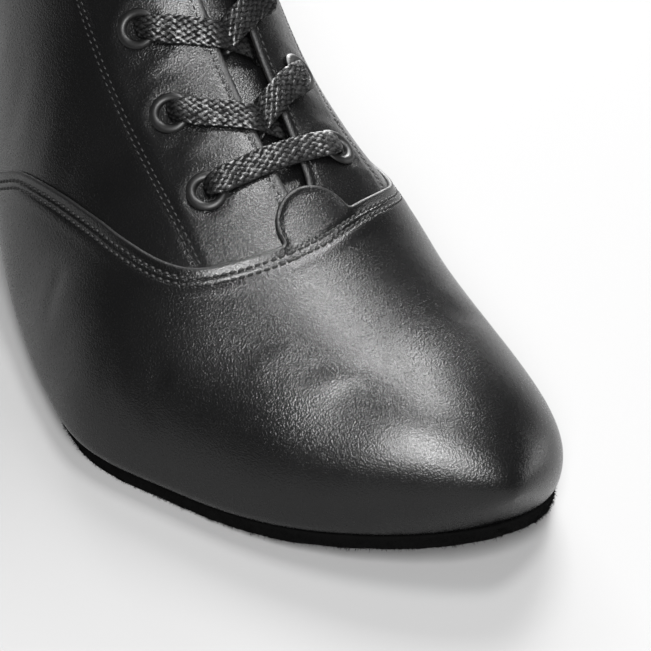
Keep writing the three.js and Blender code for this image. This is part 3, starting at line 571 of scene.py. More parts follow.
def braid_finish():
    """Waxed cotton braid: flecks of wax on the strands' crowns, painted shade in the crossings (the colour
    darker where the strands dip, lighter on their crowns), with fine fibres."""
    f = Finish("waxed_braid", specular_ior_level=0.06, coat_roughness=0.3, coat_ior=1.5)
    along, across = f.given("along") / BRAID_PITCH, f.given("across") / BRAID_STEP
    p, q = along + across, along - across
    strand_p, strand_q = p.rounded_down(), q.rounded_down()
    back_p = 1 - ((p - strand_p) * 2 - 1) ** 2
    back_q = 1 - ((q - strand_q) * 2 - 1) ** 2
    turn_p = ((strand_p - q + 0.5) * math.pi).cosine() * 0.5 + 0.5
    turn_q = 0.5 - ((p - strand_q - 0.5) * math.pi).cosine() * 0.5
    crown = (back_p * (turn_p * 0.7 + 0.3)).most(back_q * (turn_q * 0.7 + 0.3))
    fibre = f.noise(5200, 3, 0.6)
    wax = f.noise(700, 3, 0.6)
    # Colour share: painted shade from the strands' height, darker in the crossings and lighter on the
    # crowns, plus random fibre tone.
    fibre_tone_and_painted_shade = (crown * 0.9 + fibre * 0.35 - 0.3).held()
    colour = f.shade(0.0002, (0.0019, 0.0019, 0.002), fibre_tone_and_painted_shade)
    rough = 0.60 - wax * 0.30 - crown * 0.16 + fibre * 0.12
    fleck = ((crown - 0.5) * 1.6 + (wax - 0.5) * 3.0 + (fibre - 0.5) * 1.2).held()
    return f.feed(base_color=colour, roughness=rough, coat_weight=fleck * 0.8,
                  normal=f.bump(crown + fibre * 0.35 + wax * 0.2, 0.0005, 0.95))


def heel_finish():
    """Heel cover: smooth black leather, drawn tight."""
    f = Finish("heel_cover", specular_ior_level=0.3)
    grain = f.cells(1500, 0.6)
    cloud = f.noise(60)
    colour = f.shade(0.0012, 0.004, cloud)
    return f.feed(base_color=colour, roughness=0.36 + cloud * 0.12, normal=f.bump(grain, 0.00008, 0.35))


def rubber_finish():
    """Hard black rubber: matt, with a fine tooth."""
    f = Finish("heel_rubber", specular_ior_level=0.25)
    tooth = f.noise(1500, 4, 0.6)
    colour = f.shade(0.0015, 0.004, tooth)
    return f.feed(base_color=colour, roughness=0.75 + tooth * 0.15, normal=f.bump(tooth, 0.0001, 0.5))


LEATHER = leather_finish()
LINING = lining_finish()
SUEDE = suede_finish()
THREAD = thread_finish()
ENAMEL = enamel_finish()
BRAID = braid_finish()
HEEL_COVER = heel_finish()
RUBBER = rubber_finish()

# The vamp's edge without its tab: round the section against place, as the photograph shows it
EDGE_LINE = np.array([
    [-1.0, 150.3], [-0.8, 148.9], [-0.6, 145.1], [-0.5, 141.6], [-0.44, 137.2], [-0.407, 133.6],
    [-0.367, 127.1], [-0.327, 119.1], [-0.300, 112.2], [-0.273, 103.6], [-0.253, 95.8], [-0.22, 84.8],
    [-0.187, 77.6], [-0.16, 74.2], [-0.127, 72.2], [-0.1, 71.3], [-0.067, 70.8], [-0.027, 71.4],
    [0.013, 73.2], [0.087, 78.0], [0.173, 84.2], [0.24, 91.0], [0.29, 101.0], [0.34, 115.0],
    [0.39, 128.0], [0.44, 137.0], [0.5, 142.0], [0.6, 145.1], [0.8, 148.9], [1.0, 150.3]])
TAB_MIDDLE = np.array([1.2, -10.3])
TAB_RADIUS = 10.3
VAMP_SEAMS = (2.6, 4.4)


def edge_place(around):
    """Place of the vamp's edge without its tab."""
    return through(EDGE_LINE[:, 0], EDGE_LINE[:, 1], around)


def edge_lines():
    """The edge without its tab, and with it: the plain line gives way to the tab's circle between the
    points where the two cross. Both are pairs of arc and ridge length. The one with the tab is spaced
    0.25 mm and its corners are softened."""
    around = np.linspace(-1, 1, 4001)
    place = edge_place(around)
    plain = np.stack([arc_of(place, around), length_of(place)], -1)
    away = np.hypot(plain[:, 0] - TAB_MIDDLE[0], plain[:, 1] - TAB_MIDDLE[1])
    inside = np.nonzero(away < TAB_RADIUS)[0]
    first, last = plain[inside[0]], plain[inside[-1]]
    begin, end = (math.atan2(p[1] - TAB_MIDDLE[1], p[0] - TAB_MIDDLE[0]) for p in (first, last))
    begin = begin + 2 * math.pi if begin < 0 else begin
    turn = np.linspace(begin, end, 200)
    arch = TAB_MIDDLE + TAB_RADIUS * np.stack([np.cos(turn), np.sin(turn)], -1)
    whole = np.concatenate([plain[:inside[0]], arch, plain[inside[-1] + 1:]])
    whole = soften(evenly(whole, 0.25), 3.0)
    return plain, whole, first, last


PLAIN_EDGE, WHOLE_EDGE, TAB_FIRST, TAB_LAST = edge_lines()

# Creases, listed one by one: (length up the ridge, length round) along each, then its height and half
# width in mm. A negative height is a trough.
CREASE_STEPS, CREASE_FADE = 40, 14.0
VAMP_CREASES = [
    ([(-60.0, -42.0), (-58.0, -26.0), (-56.0, -13.0), (-51.0, -2.0), (-47.0, 14.0)], -0.7, 10.0),
    ([(-68.0, -42.0), (-70.0, -27.0), (-71.5, -12.0), (-72.5, 3.0), (-72.0, 18.0)], 0.32, 9.0),
    ([(-49.8, -27.0), (-49.6, -20.0), (-50.2, -15.0), (-51.0, -10.0), (-51.3, -3.0)], 0.18, 2.8),
    ([(-45.4, -26.0), (-45.6, -18.0), (-46.4, -11.0), (-47.6, -4.0)], -0.11, 2.6),
    ([(-54.5, -24.0), (-55.0, -16.0), (-55.6, -8.0)], -0.09, 2.6),
    ([(-39.0, -34.0), (-38.0, -26.0), (-38.4, -17.0)], 0.16, 3.2),
    ([(-33.0, -62.0), (-27.0, -54.0), (-22.0, -45.0)], -0.22, 2.6),
    ([(-24.0, -66.0), (-18.0, -58.0), (-13.0, -50.0)], 0.20, 3.0),
    ([(-40.0, 20.0), (-38.0, 30.0), (-35.0, 42.0)], -0.22, 3.0),
    ([(-34.0, 22.0), (-31.0, 32.0), (-27.0, 42.0)], 0.18, 3.4),
    ([(8.0, -78.0), (12.0, -70.0), (15.0, -62.0)], -0.22, 2.4),
]
QUARTER_CREASES = [
    ([(4.0, -27.0), (5.0, -23.0), (4.4, -17.0), (3.0, -12.0)], 0.20, 1.3),
    ([(1.2, -26.0), (2.2, -21.0), (1.6, -15.0)], -0.18, 1.0),
    ([(17.0, -26.0), (18.6, -20.0), (20.0, -12.0)], 0.16, 1.6),
    ([(21.5, -28.0), (23.0, -21.0), (24.4, -11.0)], -0.18, 1.3),
    ([(40.5, -28.0), (42.0, -20.0), (43.0, -12.0)], 0.16, 1.7),
    ([(44.0, -29.0), (45.8, -20.0), (46.6, -12.0)], -0.16, 1.4),
    ([(26.0, -62.0), (33.0, -52.0), (41.0, -44.0)], -0.14, 3.4),
    ([(34.0, -66.0), (41.0, -57.0), (50.0, -47.0)], 0.12, 3.8),
    ([(48.0, -78.0), (55.0, -66.0), (66.0, -54.0)], -0.15, 4.4),
    ([(58.0, -84.0), (65.0, -72.0), (76.0, -60.0)], 0.13, 4.6),
    ([(70.0, -92.0), (76.0, -78.0), (86.0, -66.0)], -0.15, 4.8),
    ([(4.0, 15.0), (5.4, 22.0), (5.0, 28.0)], 0.18, 1.3),
    ([(20.0, 12.0), (21.4, 20.0), (21.0, 28.0)], -0.18, 1.4),
    ([(26.0, 60.0), (33.0, 50.0), (41.0, 42.0)], -0.28, 3.0),
    ([(46.0, 74.0), (54.0, 62.0), (64.0, 50.0)], -0.32, 3.6),
    ([(56.0, 80.0), (64.0, 68.0), (74.0, 56.0)], 0.28, 4.0),
    ([(68.0, 88.0), (76.0, 74.0), (86.0, 62.0)], -0.34, 4.2),
]


def creased(points, creases):
    """Height of the creases at each point: along its line each has a bell-shaped section, and it fades at
    both ends over a third of its length. A point's place along a line is its nearest step and its part of
    a step from there."""
    height = np.zeros(points.shape[:-1])
    flat = points.reshape(-1, 3)
    for stops, rise, width in creases:
        stops = np.asarray(stops, float)
        knots = np.arange(len(stops), dtype=float)
        way = through(knots, stops, np.linspace(0, len(stops) - 1, CREASE_STEPS + 1))
        line = spot(way[:, 0], way[:, 1])
        pace = np.gradient(line, axis=0)
        close = np.nonzero(near(flat, line[::5]) < 4 * width + 4)[0]
        nearest = ((flat[close, None] - line[None]) ** 2).sum(-1).argmin(1)
        offset, step = flat[close] - line[nearest], pace[nearest]
        ahead = (offset * step).sum(-1) / (step ** 2).sum(-1)
        away = np.linalg.norm(offset - step * ahead[:, None], axis=1)
        along = np.clip(nearest + ahead, 0, CREASE_STEPS)
        fade = ease(np.minimum(along, CREASE_STEPS - along) / CREASE_FADE)
        height.reshape(-1)[close] += rise * bell(away, width) * fade
    return height


def make_vamp():
    """The vamp: columns run from the tip of the toe to its edge, tab included, closer together at the tab.
    Up to a lead below the edge they follow the sections, and from there they lean over to the edge's
    points. At the tip the two sides' columns match, and they move to their own places further up. The edge
    is folded: it swells over the fold, then turns round a half circle and lies on the quarters. Two
    grooves run under the stitch rows. The inside is the same grid, moved in, thin at the edge."""
    columns, rows, lead_rows = 290, 108, 46
    lead, slow, matched = 26, 12.0, 45
    crowd, crowd_width = 1.3, 26
    fold, swell = 0.62, 0.30
    edge_wall, more_wall = 0.78, 1.5
    edge = evenly(WHOLE_EDGE, 0.2)
    lengths = run(edge)
    edge_t = place_of(edge[:, 1])
    edge_w = round_of(edge_t, edge[:, 0])
    first, last = (np.argmin(np.hypot(*(edge - end).T)) for end in (TAB_FIRST, TAB_LAST))
    tab = slice(first, last + 1)
    start_w = edge_w.copy()
    start_w[tab] = np.interp(lengths[tab], lengths[[first, last]], edge_w[[first, last]])
    start_w[0], start_w[-1] = -1, 1
    start_w = np.maximum.accumulate(soften(start_w, 8))
    start_w = -1 + 2 * (start_w - start_w[0]) / (start_w[-1] - start_w[0])
    tab_middle = (lengths[first] + lengths[last]) / 2
    crowding = np.cumsum(1 + crowd * bell(lengths - tab_middle, crowd_width))
    share = np.linspace(0, 1, columns + 1)
    chosen = np.interp(share, (crowding - crowding[0]) / (crowding[-1] - crowding[0]), lengths)
    start_w, edge_t, edge_w = (np.interp(chosen, lengths, values) for values in (start_w, edge_t, edge_w))
    edge_w[0], edge_w[-1] = -1, 1
    edge_point, edge_normal = form(edge_t, edge_w), outward(edge_t, edge_w)
    ahead = unit(np.cross(tangents(edge_point), edge_normal))
    ahead *= np.sign((ahead * (edge_point - form(edge_t - 2, edge_w))).sum(-1).mean())
    last_t, last_w = stepped(edge_t, edge_w, -fold * ahead)
    last_w[0], last_w[-1] = -1, 1
    start_t = edge_place(start_w) - lead
    way = np.linspace(0, 1, rows)[:, None] * (2 * slow + (start_t - slow))[None]
    straight_t = np.where(way < 2 * slow, way ** 2 / (4 * slow), way - slow)
    even_w = (start_w - start_w[::-1]) / 2
    straight_w = even_w + (start_w - even_w) * ease(straight_t / matched)
    share = 1 - (1 - np.linspace(0, 1, lead_rows + 1)[1:]) ** 1.35
    band_t = start_t + (last_t - start_t) * share[:, None]
    band_w = start_w + (last_w - start_w) * ease(share)[:, None]
    t = np.concatenate([straight_t, band_t])
    w = np.concatenate([straight_w, band_w])
    base, normal = form(t, w), outward(t, w)
    distance = near(base, on_form(WHOLE_EDGE[::2]))
    below = near(base, evenly(on_form(PLAIN_EDGE), 0.5)) * np.where(t < edge_place(w), 1, -1)
    height = (
        swell * bell(np.maximum(distance - fold, 0), 0.95)
        - 0.26 * bell(below - VAMP_SEAMS[0], 0.45) - 0.26 * bell(below - VAMP_SEAMS[1], 0.45)
        + 0.10 * bell(below - 3.5, 0.45) + 0.12 * bell(below - 6.2, 1.4)
        + creased(base, VAMP_CREASES))
    height[-1] = swell
    outer = base + normal * height[..., None]
    turns = np.radians([62, 36, 10, -16, -45, -75])[:, None, None]
    lip = base[-1] + ahead * (fold * np.cos(turns)) + normal[-1] * (swell - fold + fold * np.sin(turns))
    hidden = -edge_wall - more_wall * ease((distance - 8.5) / 4)
    hidden[0] = -0.9
    inner = base + normal * hidden[..., None]
    inner_edge = base[-1] - ahead * 0.3 - normal[-1] * 0.92
    skin = Skin()
    o = skin.grid(outer, edge=distance)
    lips = skin.grid(lip)
    i = skin.grid(inner[:-1], edge=2.0)
    e = skin.grid(inner_edge[None], edge=2.0)
    half = columns // 2
    for index in (o, i):
        index[0, half + 1:] = index[0, :half][::-1]
    skin.quads(np.concatenate([o, lips, e]))
    skin.quads(np.concatenate([i, e]), flip=True)
    for side, flip in ((0, False), (-1, True)):
        skin.strip(o[:-1, side], i[:, side], flip)
        rim = np.concatenate([o[-2:, side], lips[:, side], e[:, side]])
        fan = np.stack([np.full(4, i[-1, side]), rim[0:8:2], rim[1:9:2], rim[2:9:2]], -1)
        skin.faces.append(fan[:, ::-1] if flip else fan)
    piece = skin.piece("vamp_leather", LEATHER)
    return piece, outer, below


VAMP, VAMP_POINTS, VAMP_BELOW = make_vamp()
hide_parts("upper")

# The quarters, from under the vamp's edge to the collar, with the throat open between their facings. They
# are tucked some places under the vamp's edge. A facing's two seams lie to either side of its line, and
# one more follows its edge.
TUCKED = 7.5
SEAM_HALF, EDGE_SEAM = 0.62, 2.1


def throat_half(length):
    """Half of the throat's gap: it grows with the root of the length up the ridge."""
    share = np.clip(np.asarray(length) / RIDGE_LENGTH, 0, 1)
    return (THROAT_BOTTOM + (THROAT_TOP - THROAT_BOTTOM) * np.sqrt(share)) / 2


def eye_length(hand, row):
    """Length up the ridge of an eyelet: the medial one of a pair sits a stagger higher."""
    return EYELET_FIRST + row * EYELET_PITCH + hand * EYELET_STAGGER / 2


def eye_round(hand, row):
    """Length round from the ridge of an eyelet: a row follows its facing's edge."""
    wider = 2 * float(throat_half(eye_length(hand, row)) - throat_half(EYELET_FIRST))
    return EYELET_SHIFT + hand / 2 * (EYELET_SPREAD + wider)


def quarter_net(hand, rows, columns, inset):
    """Places, rounds and arcs of a quarter's grid. Columns share out the length round from the feather
    line or back seam to the facing's edge, and rows run from under the vamp's edge to the collar, less an
    inset at both edges."""
    c = np.linspace(0, 1, columns)
    first_guess, rounds = 100.0, 12
    front = np.full(columns, first_guess)
    for _ in range(rounds):
        seam = arc_of(front, np.full(columns, float(hand)))
        around = round_of(front, seam * (1 - c) + hand * throat_half(length_of(front)) * c)
        front = 0.5 * front + 0.5 * (edge_place(around) - TUCKED)
    front = soften(front, 2)
    b = np.linspace(0, 1, rows)[:, None]
    top = place_of(RIDGE_LENGTH - inset)
    t = front + (top - front) * b
    edge = arc_of(t, np.full(t.shape, float(hand)))
    facing = hand * (throat_half(length_of(t)) + inset)
    arc = edge * (1 - c) + facing * c
    w = round_of(t, arc)
    w[:, 0] = hand
    return t, w, arc


def facing_line(hand, length):
    """Length round from the ridge of the facing's double seam: it widens up the leg. The medial one
    starts as wide as the lateral one, draws in beside the lowest eyelets and then widens too."""
    if hand < 0:
        return -(30.6 + 0.085 * np.asarray(length))
    lengths = np.array([-14.0, 2.0, 13.0, 24.0, 60.0, 154.0])
    return through(lengths, [30.4, 28.0, 26.0, 25.2, 28.5, 37.0], length)


def quarter_layer(name, hand, material, high, low, inset, creases, groove):
    """One layer of a quarter between two heights over the form, its facing and collar edges turned round
    half circles and its back edge rounded down to the seam. Grooves run under the seams, a swell along
    the folded edges, and a dish under each eyelet."""
    rows, columns = (200, 128) if groove else (90, 60)
    t, w, arc = quarter_net(hand, rows, columns, inset)
    base, normal = form(t, w), outward(t, w)
    length = length_of(t)
    to_facing = np.abs(arc) - throat_half(length) - inset
    to_collar = (RIDGE_LENGTH - inset - length) * np.interp(np.abs(w), [0, 1], [1.0, 0.84])
    seam = np.abs(arc_of(t, np.full(t.shape, float(hand))))
    to_back = np.where(t > SEAT_END - 14, seam - np.abs(arc), 99)
    distance = np.minimum(to_facing, to_collar)
    if groove:
        to_seam = np.abs(arc) - np.abs(facing_line(hand, length))
        height = (
            0.16 * bell(np.maximum(distance - 0.5, 0), 0.9)
            - 0.16 * bell(distance - EDGE_SEAM, 0.4)
            - 0.17 * bell(to_seam - SEAM_HALF, 0.36) - 0.17 * bell(to_seam + SEAM_HALF, 0.36)
            + 0.10 * bell(to_seam + 3.0, 1.6)
            - 0.55 * bell(to_back, 0.7)
            + creased(base, creases))
        for row in range(EYELET_PAIRS):
            away = np.hypot(length - eye_length(hand, row), arc - eye_round(hand, row))
            height += -0.22 * bell(away, 5.4) + 0.14 * bell(away - 7.2, 1.5)
    else:
        height = np.zeros(t.shape)
    outer = base + normal * (high + height)[..., None]
    inner = base + normal * low
    facing_out = unit(np.cross(tangents(base[:, -1]), normal[:, -1])) * -hand
    collar_out = unit(base[-1] - base[-2])
    radius = (high - low) / 2
    skin = Skin()
    o = skin.grid(outer, edge=np.maximum(distance, 0) * 0.9)
    i = skin.grid(inner, edge=2.0)
    turns = np.radians([50, 15, -20, -55])
    mid_facing = base[:, -1] + normal[:, -1] * ((high + low) / 2 + height[:, -1] / 2)[..., None]
    mid_collar = base[-1] + normal[-1] * ((high + low) / 2 + height[-1] / 2)[..., None]
    ahead, lift = radius * np.cos(turns)[:, None, None], radius * np.sin(turns)[:, None, None]
    rolled_facing = mid_facing + facing_out * ahead + normal[:, -1] * lift
    side = skin.grid(rolled_facing.transpose(1, 0, 2))
    cap = skin.grid(mid_collar + collar_out * ahead + normal[-1] * lift)
    flip = hand > 0
    skin.quads(o, not flip)
    skin.quads(i, flip)
    skin.quads(np.concatenate([o[:, -1:], side, i[:, -1:]], 1), not flip)
    skin.quads(np.concatenate([o[-1:], cap, i[-1:]], 0), not flip)
    skin.strip(o[:, 0], i[:, 0], flip)
    skin.strip(o[0], i[0], not flip)
    corner_side = np.concatenate([o[-1:, -1], side[-1], i[-1:, -1]])
    corner_cap = np.concatenate([o[-1:, -1], cap[:, -1], i[-1:, -1]])
    skin.strip(corner_side, corner_cap, flip)
    return skin.piece(name, material, weld=1e-7)


for hand, side_name in ((-1, "lateral"), (1, "medial")):
    creases = [c for c in QUARTER_CREASES if (c[0][0][1] > 0) == (hand > 0)]
    leather = quarter_layer(f"quarter_{side_name}", hand, LEATHER, high=-0.8, low=-1.7, inset=0.0,
                            creases=creases, groove=True)
    lining = quarter_layer(f"lining_{side_name}", hand, LINING, high=-1.72, low=-2.4, inset=0.35,
                           creases=[], groove=False)
    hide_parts("upper")

# The tongue: a pillow-edged sheet under the facings, its top corners rounded


def make_tongue():
    """Two grids a thickness apart that meet at the rim: the thickness is the root of 1 minus a high power
    of the distance from the middle line to the rim."""
    rows, columns = 180, 60
    b = np.linspace(0, 1, rows)[:, None]
    a = np.linspace(-1, 1, columns)[None, :]
    length = -TONGUE_LAP + (RIDGE_LENGTH + TONGUE_LAP + TONGUE_ABOVE) * b
    room = LACE_THICKNESS + 3 * CLEARANCE
    depth = WALL + VAMP_STEP + CLEARANCE + (room - CLEARANCE) * ease((length + 10.5) / 10.5)
    half = TONGUE_WIDTH / 2 * (0.8 + 0.2 * ease((length + TONGUE_LAP) / (2 * TONGUE_LAP)))
    corner = np.clip((length - (RIDGE_LENGTH + TONGUE_ABOVE - 14)) / 14, 0, 1)
    half = half * np.sqrt(1 - 0.55 * corner ** 3)
    inside = np.minimum(length, RIDGE_LENGTH)
    arc = half * a * 0.985
    t = place_of(inside + 0 * arc)
    w = round_of(t, arc)
    base, normal = form(t, w), outward(t, w)
    up = unit(base[-30] - base[-44])
    base = base + up[None] * (length - inside)[..., None]
    rim = np.maximum(np.abs(2 * b - 1) ** 60, np.abs(a) ** 14)
    thick = TONGUE * np.sqrt(np.clip(1 - rim, 0, 1))
    soft = 0.22 * bell(np.abs(a) * half - 9, 2.0) - 0.15 * bell(np.abs(a) * half - 13, 1.2)
    outer = base - normal * (depth + TONGUE / 2 - thick / 2 - soft * 0.5)[..., None]
    inner = base - normal * (depth + TONGUE / 2 + thick / 2)[..., None]
    skin = Skin()
    o, i = skin.grid(outer, edge=2.0), skin.grid(inner, edge=2.0)
    skin.quads(o)
    skin.quads(i, flip=True)
    return skin.piece("tongue_leather", LEATHER, weld=1e-5)


TONGUE_PIECE = make_tongue()
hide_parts("tongue")

# The bottom: plates between the two sides of the foot's outline


def slab(name, material, lateral, medial, side_l, side_m, levels, height_of, across, rough=None,
         breast=False):
    """A plate: for each place a ring runs over the top from lateral to medial, down the side through the
    levels (each an outward distance and a share of the height), back under, and up the other side. rough
    adds to the outward distances. A plate with a breast ends in a straight face, others come together at
    both ends."""
    shares = np.array([v[1] for v in levels])
    outs = np.array([v[0] for v in levels])
    rows = len(lateral)
    s = np.linspace(0, 1, across)

    def side(points, square, number):
        """One side's wall, from the top level down."""
        extra = rough(points, shares, number) if rough is not None else np.zeros((rows, len(levels)))
        plan = points[:, None] + square[:, None] * (outs[None] + extra)[..., None]
        z = height_of(plan[..., 0], shares[None])
        return np.concatenate([plan, z[..., None]], -1)

    left, right = side(lateral, side_l, 0), side(medial, side_m, 1)
    if not breast:
        for end in (0, -1):
            left[end] = right[end] = (left[end] + right[end]) / 2

    def face(level):
        """The top or the underside: straight lines from rim to rim."""
        plan = left[:, [level], :2] * (1 - s)[None, :, None] + right[:, [level], :2] * s[None, :, None]
        z = height_of(plan[..., 0], shares[level] + 0 * plan[..., 0])
        return np.concatenate([plan, z[..., None]], -1)

    top, low = face(0), face(-1)
    ring = np.concatenate([top[:, :-1], right[:, :-1], low[:, :0:-1], left[:, :0:-1]], 1)
    skin = Skin()
    index = skin.grid(ring)
    skin.quads(index, wrap=True, flip=True)
    if breast:
        k, rim = len(levels), index[0]
        front = np.empty((k, across), int)
        front[0], front[-1] = rim[:across], rim[across + k - 2:2 * across + k - 2][::-1]
        front[1:-1, 0], front[1:-1, -1] = rim[:-k + 1:-1], rim[across:across + k - 2]
        share = s[None, 1:-1, None]
        front[1:-1, 1:-1] = skin.grid(left[0, 1:-1, None] * (1 - share) + right[0, 1:-1, None] * share)
        skin.quads(front)
    return skin.piece(name, material, weld=2e-6), left, right


def ragged(points, shares, number):
    """Ragged suede edge: three waves of fixed seed noise along the line and down the side."""
    generator = np.random.default_rng(11 + number)
    rows = len(points)
    coarse = soften(generator.normal(size=(rows, len(shares))), 9) * 2.2
    fine = soften(generator.normal(size=(rows, len(shares))), 2.2) * 1.2
    tiny = generator.normal(size=(rows, len(shares))) * 0.35
    body = np.sin(np.pi * np.clip(shares, 0, 1))[None]
    return 0.18 * coarse + 0.24 * fine * (0.7 + body) + 0.22 * tiny * (0.6 + body)


def even_pairs(count, start, end):
    """The outline's lateral and medial points between two places, spaced evenly by the two sides' lengths
    added up, and the outward direction at each."""
    fine = np.concatenate([np.linspace(0, 1, 4001) ** 2 * (end - start) / 2 + start,
                           end - np.linspace(1, 0, 4001)[1:] ** 2 * (end - start) / 2])
    lengths = run(form(fine, -1)[:, :2]) + run(form(fine, 1)[:, :2])
    chosen = np.interp(np.linspace(0, lengths[-1], count), lengths, fine)
    lateral, medial = form(chosen, -1)[:, :2], form(chosen, 1)[:, :2]
    loop = np.concatenate([lateral, medial[::-1]])
    step = unit(soften(np.roll(loop, -1, 0) - np.roll(loop, 1, 0), 1.0))
    square = np.stack([-step[:, 1], step[:, 0]], -1)
    return lateral, medial, square[:count], square[count:][::-1]


SOLE_PAIRS = even_pairs(760, 0.0, SEAT_END)


def sole_height(x, share):
    """Height of the outsole at x: its top lies a clearance under the upper, its underside on the floor
    line."""
    top, bottom = seat(x) - CLEARANCE, seat(x) - LOWEST
    return bottom + (top - bottom) * share


SOLE_LEVELS = [(SOLE_PROUD + out, share) for out, share in (
    (-0.5, 1.0), (-0.08, 0.97), (0.1, 0.86), (0.12, 0.7), (0.12, 0.5), (0.1, 0.32), (0.02, 0.15),
    (-0.2, 0.04), (-0.7, 0.0))]
OUTSOLE, SOLE_LEFT, SOLE_RIGHT = slab(
    "suede_outsole", SUEDE, *SOLE_PAIRS, SOLE_LEVELS, sole_height, 9, rough=ragged)
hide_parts("outsole")


def make_nap():
    """Loose suede fibres on the sole's edge: thin bent blades, each of two quads, whose roots lie on the
    side wall at seeded random spots and whose tips lean outwards and down or up at random, but not into
    the floor."""
    generator = np.random.default_rng(5)
    count, lowest = 20000, 0.02
    walls = np.concatenate([SOLE_LEFT[:, 1:-1], SOLE_RIGHT[:, 1:-1]])
    squares = np.concatenate([SOLE_PAIRS[2], SOLE_PAIRS[3]])
    row = generator.integers(0, len(walls), count)
    level = np.clip(generator.beta(1.2, 1.0, count) * (walls.shape[1] - 1), 0, walls.shape[1] - 1.001)
    i, q = level.astype(int), (level % 1)[:, None]
    root = walls[row, i] * (1 - q) + walls[row, i + 1] * q
    out = np.concatenate([squares[row], np.zeros((count, 1))], 1)
    lean = unit(out + generator.normal(size=(count, 3)) * np.array([0.6, 0.6, 0.7]) - [0, 0, 0.35])
    size = 0.25 + 0.65 * generator.random((count, 1)) ** 1.8
    side = unit(np.cross(lean, generator.normal(size=(count, 3)))) * 0.055
    bend = generator.normal(size=(count, 3)) * 0.07
    middle, tip = root + lean * size * 0.55, root + lean * size
    points = np.stack([root - side, root + side, middle + side * 0.8 + bend, middle - side * 0.8 + bend,
                       tip + side * 0.3 + bend * 2, tip - side * 0.3 + bend * 2], 1)
    points[..., 2] = np.maximum(points[..., 2], lowest)
    skin = Skin()
    index = skin.grid(points)
    skin.faces.append(index[:, [0, 1, 2, 3]])
    skin.faces.append(index[:, [3, 2, 4, 5]])
    return skin.piece("suede_nap", SUEDE)


NAP = make_nap()


def insole_height(x, share):
    """Height of the insole at x between the upper's seat and its own top."""
    return seat(x) + INSOLE * share


INSOLE_PAIRS = even_pairs(240, 4.0, SEAT_END - 1.5)
INSOLE_LEVELS = [(-3.6, 1.0), (-2.9, 0.9), (-2.7, 0.5), (-2.7, 0.02)]
INSOLE_PIECE = slab("insole_lining", LINING, *INSOLE_PAIRS, INSOLE_LEVELS, insole_height, 12)[0]
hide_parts("insole")

# The heel: two blocks under the seat, tapering to the floor
HEEL_TOP = SEAT_HEIGHT - LOWEST - CLEARANCE


def heel_piece(name, material, node, top, bottom, bevel):
    """A slice of the heel between two heights. Its outline is the sole's behind the breast line, drawn in
    towards the middle of the breast with depth, and its top and bottom rims are rounded by a bevel."""
    x = form(PLACES, -1)[:, 0]
    start = float(np.interp(-HEEL_LENGTH, -x[PLACES < SEAT_END], PLACES[PLACES < SEAT_END]))
    lateral, medial, square_l, square_m = even_pairs(170, start, SEAT_END)
    square_l[0], square_m[0] = (0, -1), (0, 1)
    lateral = lateral + square_l * SOLE_PROUD
    medial = medial + square_m * SOLE_PROUD
    lateral[0, 0] = medial[0, 0] = HEEL_LENGTH
    tall, inwards = top - bottom, bevel * 0.3
    levels = [(-bevel, 1.0), (-inwards, 1 - inwards / tall), (0, 1 - bevel / tall), (0, 0.5),
              (0, bevel / tall), (-inwards, inwards / tall), (-bevel, 0.0)]

    def height_of(plan_x, share):
        """Level at every x."""
        return bottom + tall * share + 0 * plan_x

    piece = slab(name, material, lateral, medial, square_l, square_m, levels, height_of, 12, breast=True)[0]
    data = piece.data
    flat = np.empty(len(data.vertices) * 3, np.float32)
    data.vertices.foreach_get("co", flat)
    points = flat.reshape(-1, 3) * 1000 - CENTRING
    share = 1 - (1 - HEEL_TAPER) * (HEEL_TOP - points[:, 2]) / HEEL_TOP
    points[:, 0] = HEEL_LENGTH + (points[:, 0] - HEEL_LENGTH) * share
    points[:, 1] *= share
    data.vertices.foreach_set("co", ((points + CENTRING) * 0.001).astype(np.float32).ravel())
    data.update()
    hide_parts(node)


heel_piece("heel_cover", HEEL_COVER, "heel_block", HEEL_TOP + 0.2, TOP_PIECE + CLEARANCE, 0.5)
heel_piece("heel_tip", RUBBER, "heel_top_piece", TOP_PIECE + 0.2, 0.0, 0.35)

# Eyelets


def make_eyelet(name, node, point, normal, up):
    """A ring turned about its axis: barrel, underside, rounded rim, domed flange and rolled mouth."""
    profile = np.array([
        (EYELET_BORE + 0.05, -WALL - EYELET_SEAT), (EYELET_BORE + EYELET_METAL, -WALL - EYELET_SEAT),
        (EYELET_BORE + EYELET_METAL, 0.0), (EYELET_FLANGE - 0.15, 0.0), (EYELET_FLANGE, 0.12),
        (EYELET_FLANGE - 0.03, 0.32), (EYELET_FLANGE - 0.35, 0.60), (4.55, 0.80), (4.1, EYELET_RISE),
        (3.7, 0.88), (3.3, 0.72), (3.0, 0.48), (EYELET_BORE + 0.12, 0.1), (EYELET_BORE + 0.05, -0.4)])
    turn = np.linspace(0, 2 * math.pi, 49)[:-1]
    side = np.cross(up, normal)
    up = np.cross(normal, side)
    outwards = np.cos(turn)[None, :, None] * side + np.sin(turn)[None, :, None] * up
    ring = profile[:, 0, None, None] * outwards + (profile[:, 1, None, None] + EYELET_SEAT - 0.32) * normal
    skin = Skin()
    index = skin.grid(point + ring)
    skin.quads(np.concatenate([index, index[:1]]), wrap=True, flip=True)
    piece = skin.piece(name, ENAMEL)
    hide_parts(node)


def frame_at(length, arc):
    """Point, normal and the direction up the leg on the form."""
    place = place_of(np.asarray(length, float))
    around = round_of(place, arc)
    below, above = place - 0.5, np.minimum(place + 0.5, LAST)
    up = unit(form(above, round_of(above, arc)) - form(below, round_of(below, arc)))
    normal = outward(place, around)
    up = unit(up - normal * (up * normal).sum(-1, keepdims=True))
    return form(place, around), normal, up


for row in range(EYELET_PAIRS):
    for hand, side_name in ((-1, "lateral"), (1, "medial")):
        point, normal, up = frame_at(eye_length(hand, row), eye_round(hand, row))
        make_eyelet(f"eyelet_ring_{side_name}_{row + 1}", f"eyelet_{side_name}_{row + 1}",
                    point - normal * VAMP_STEP, normal, up)

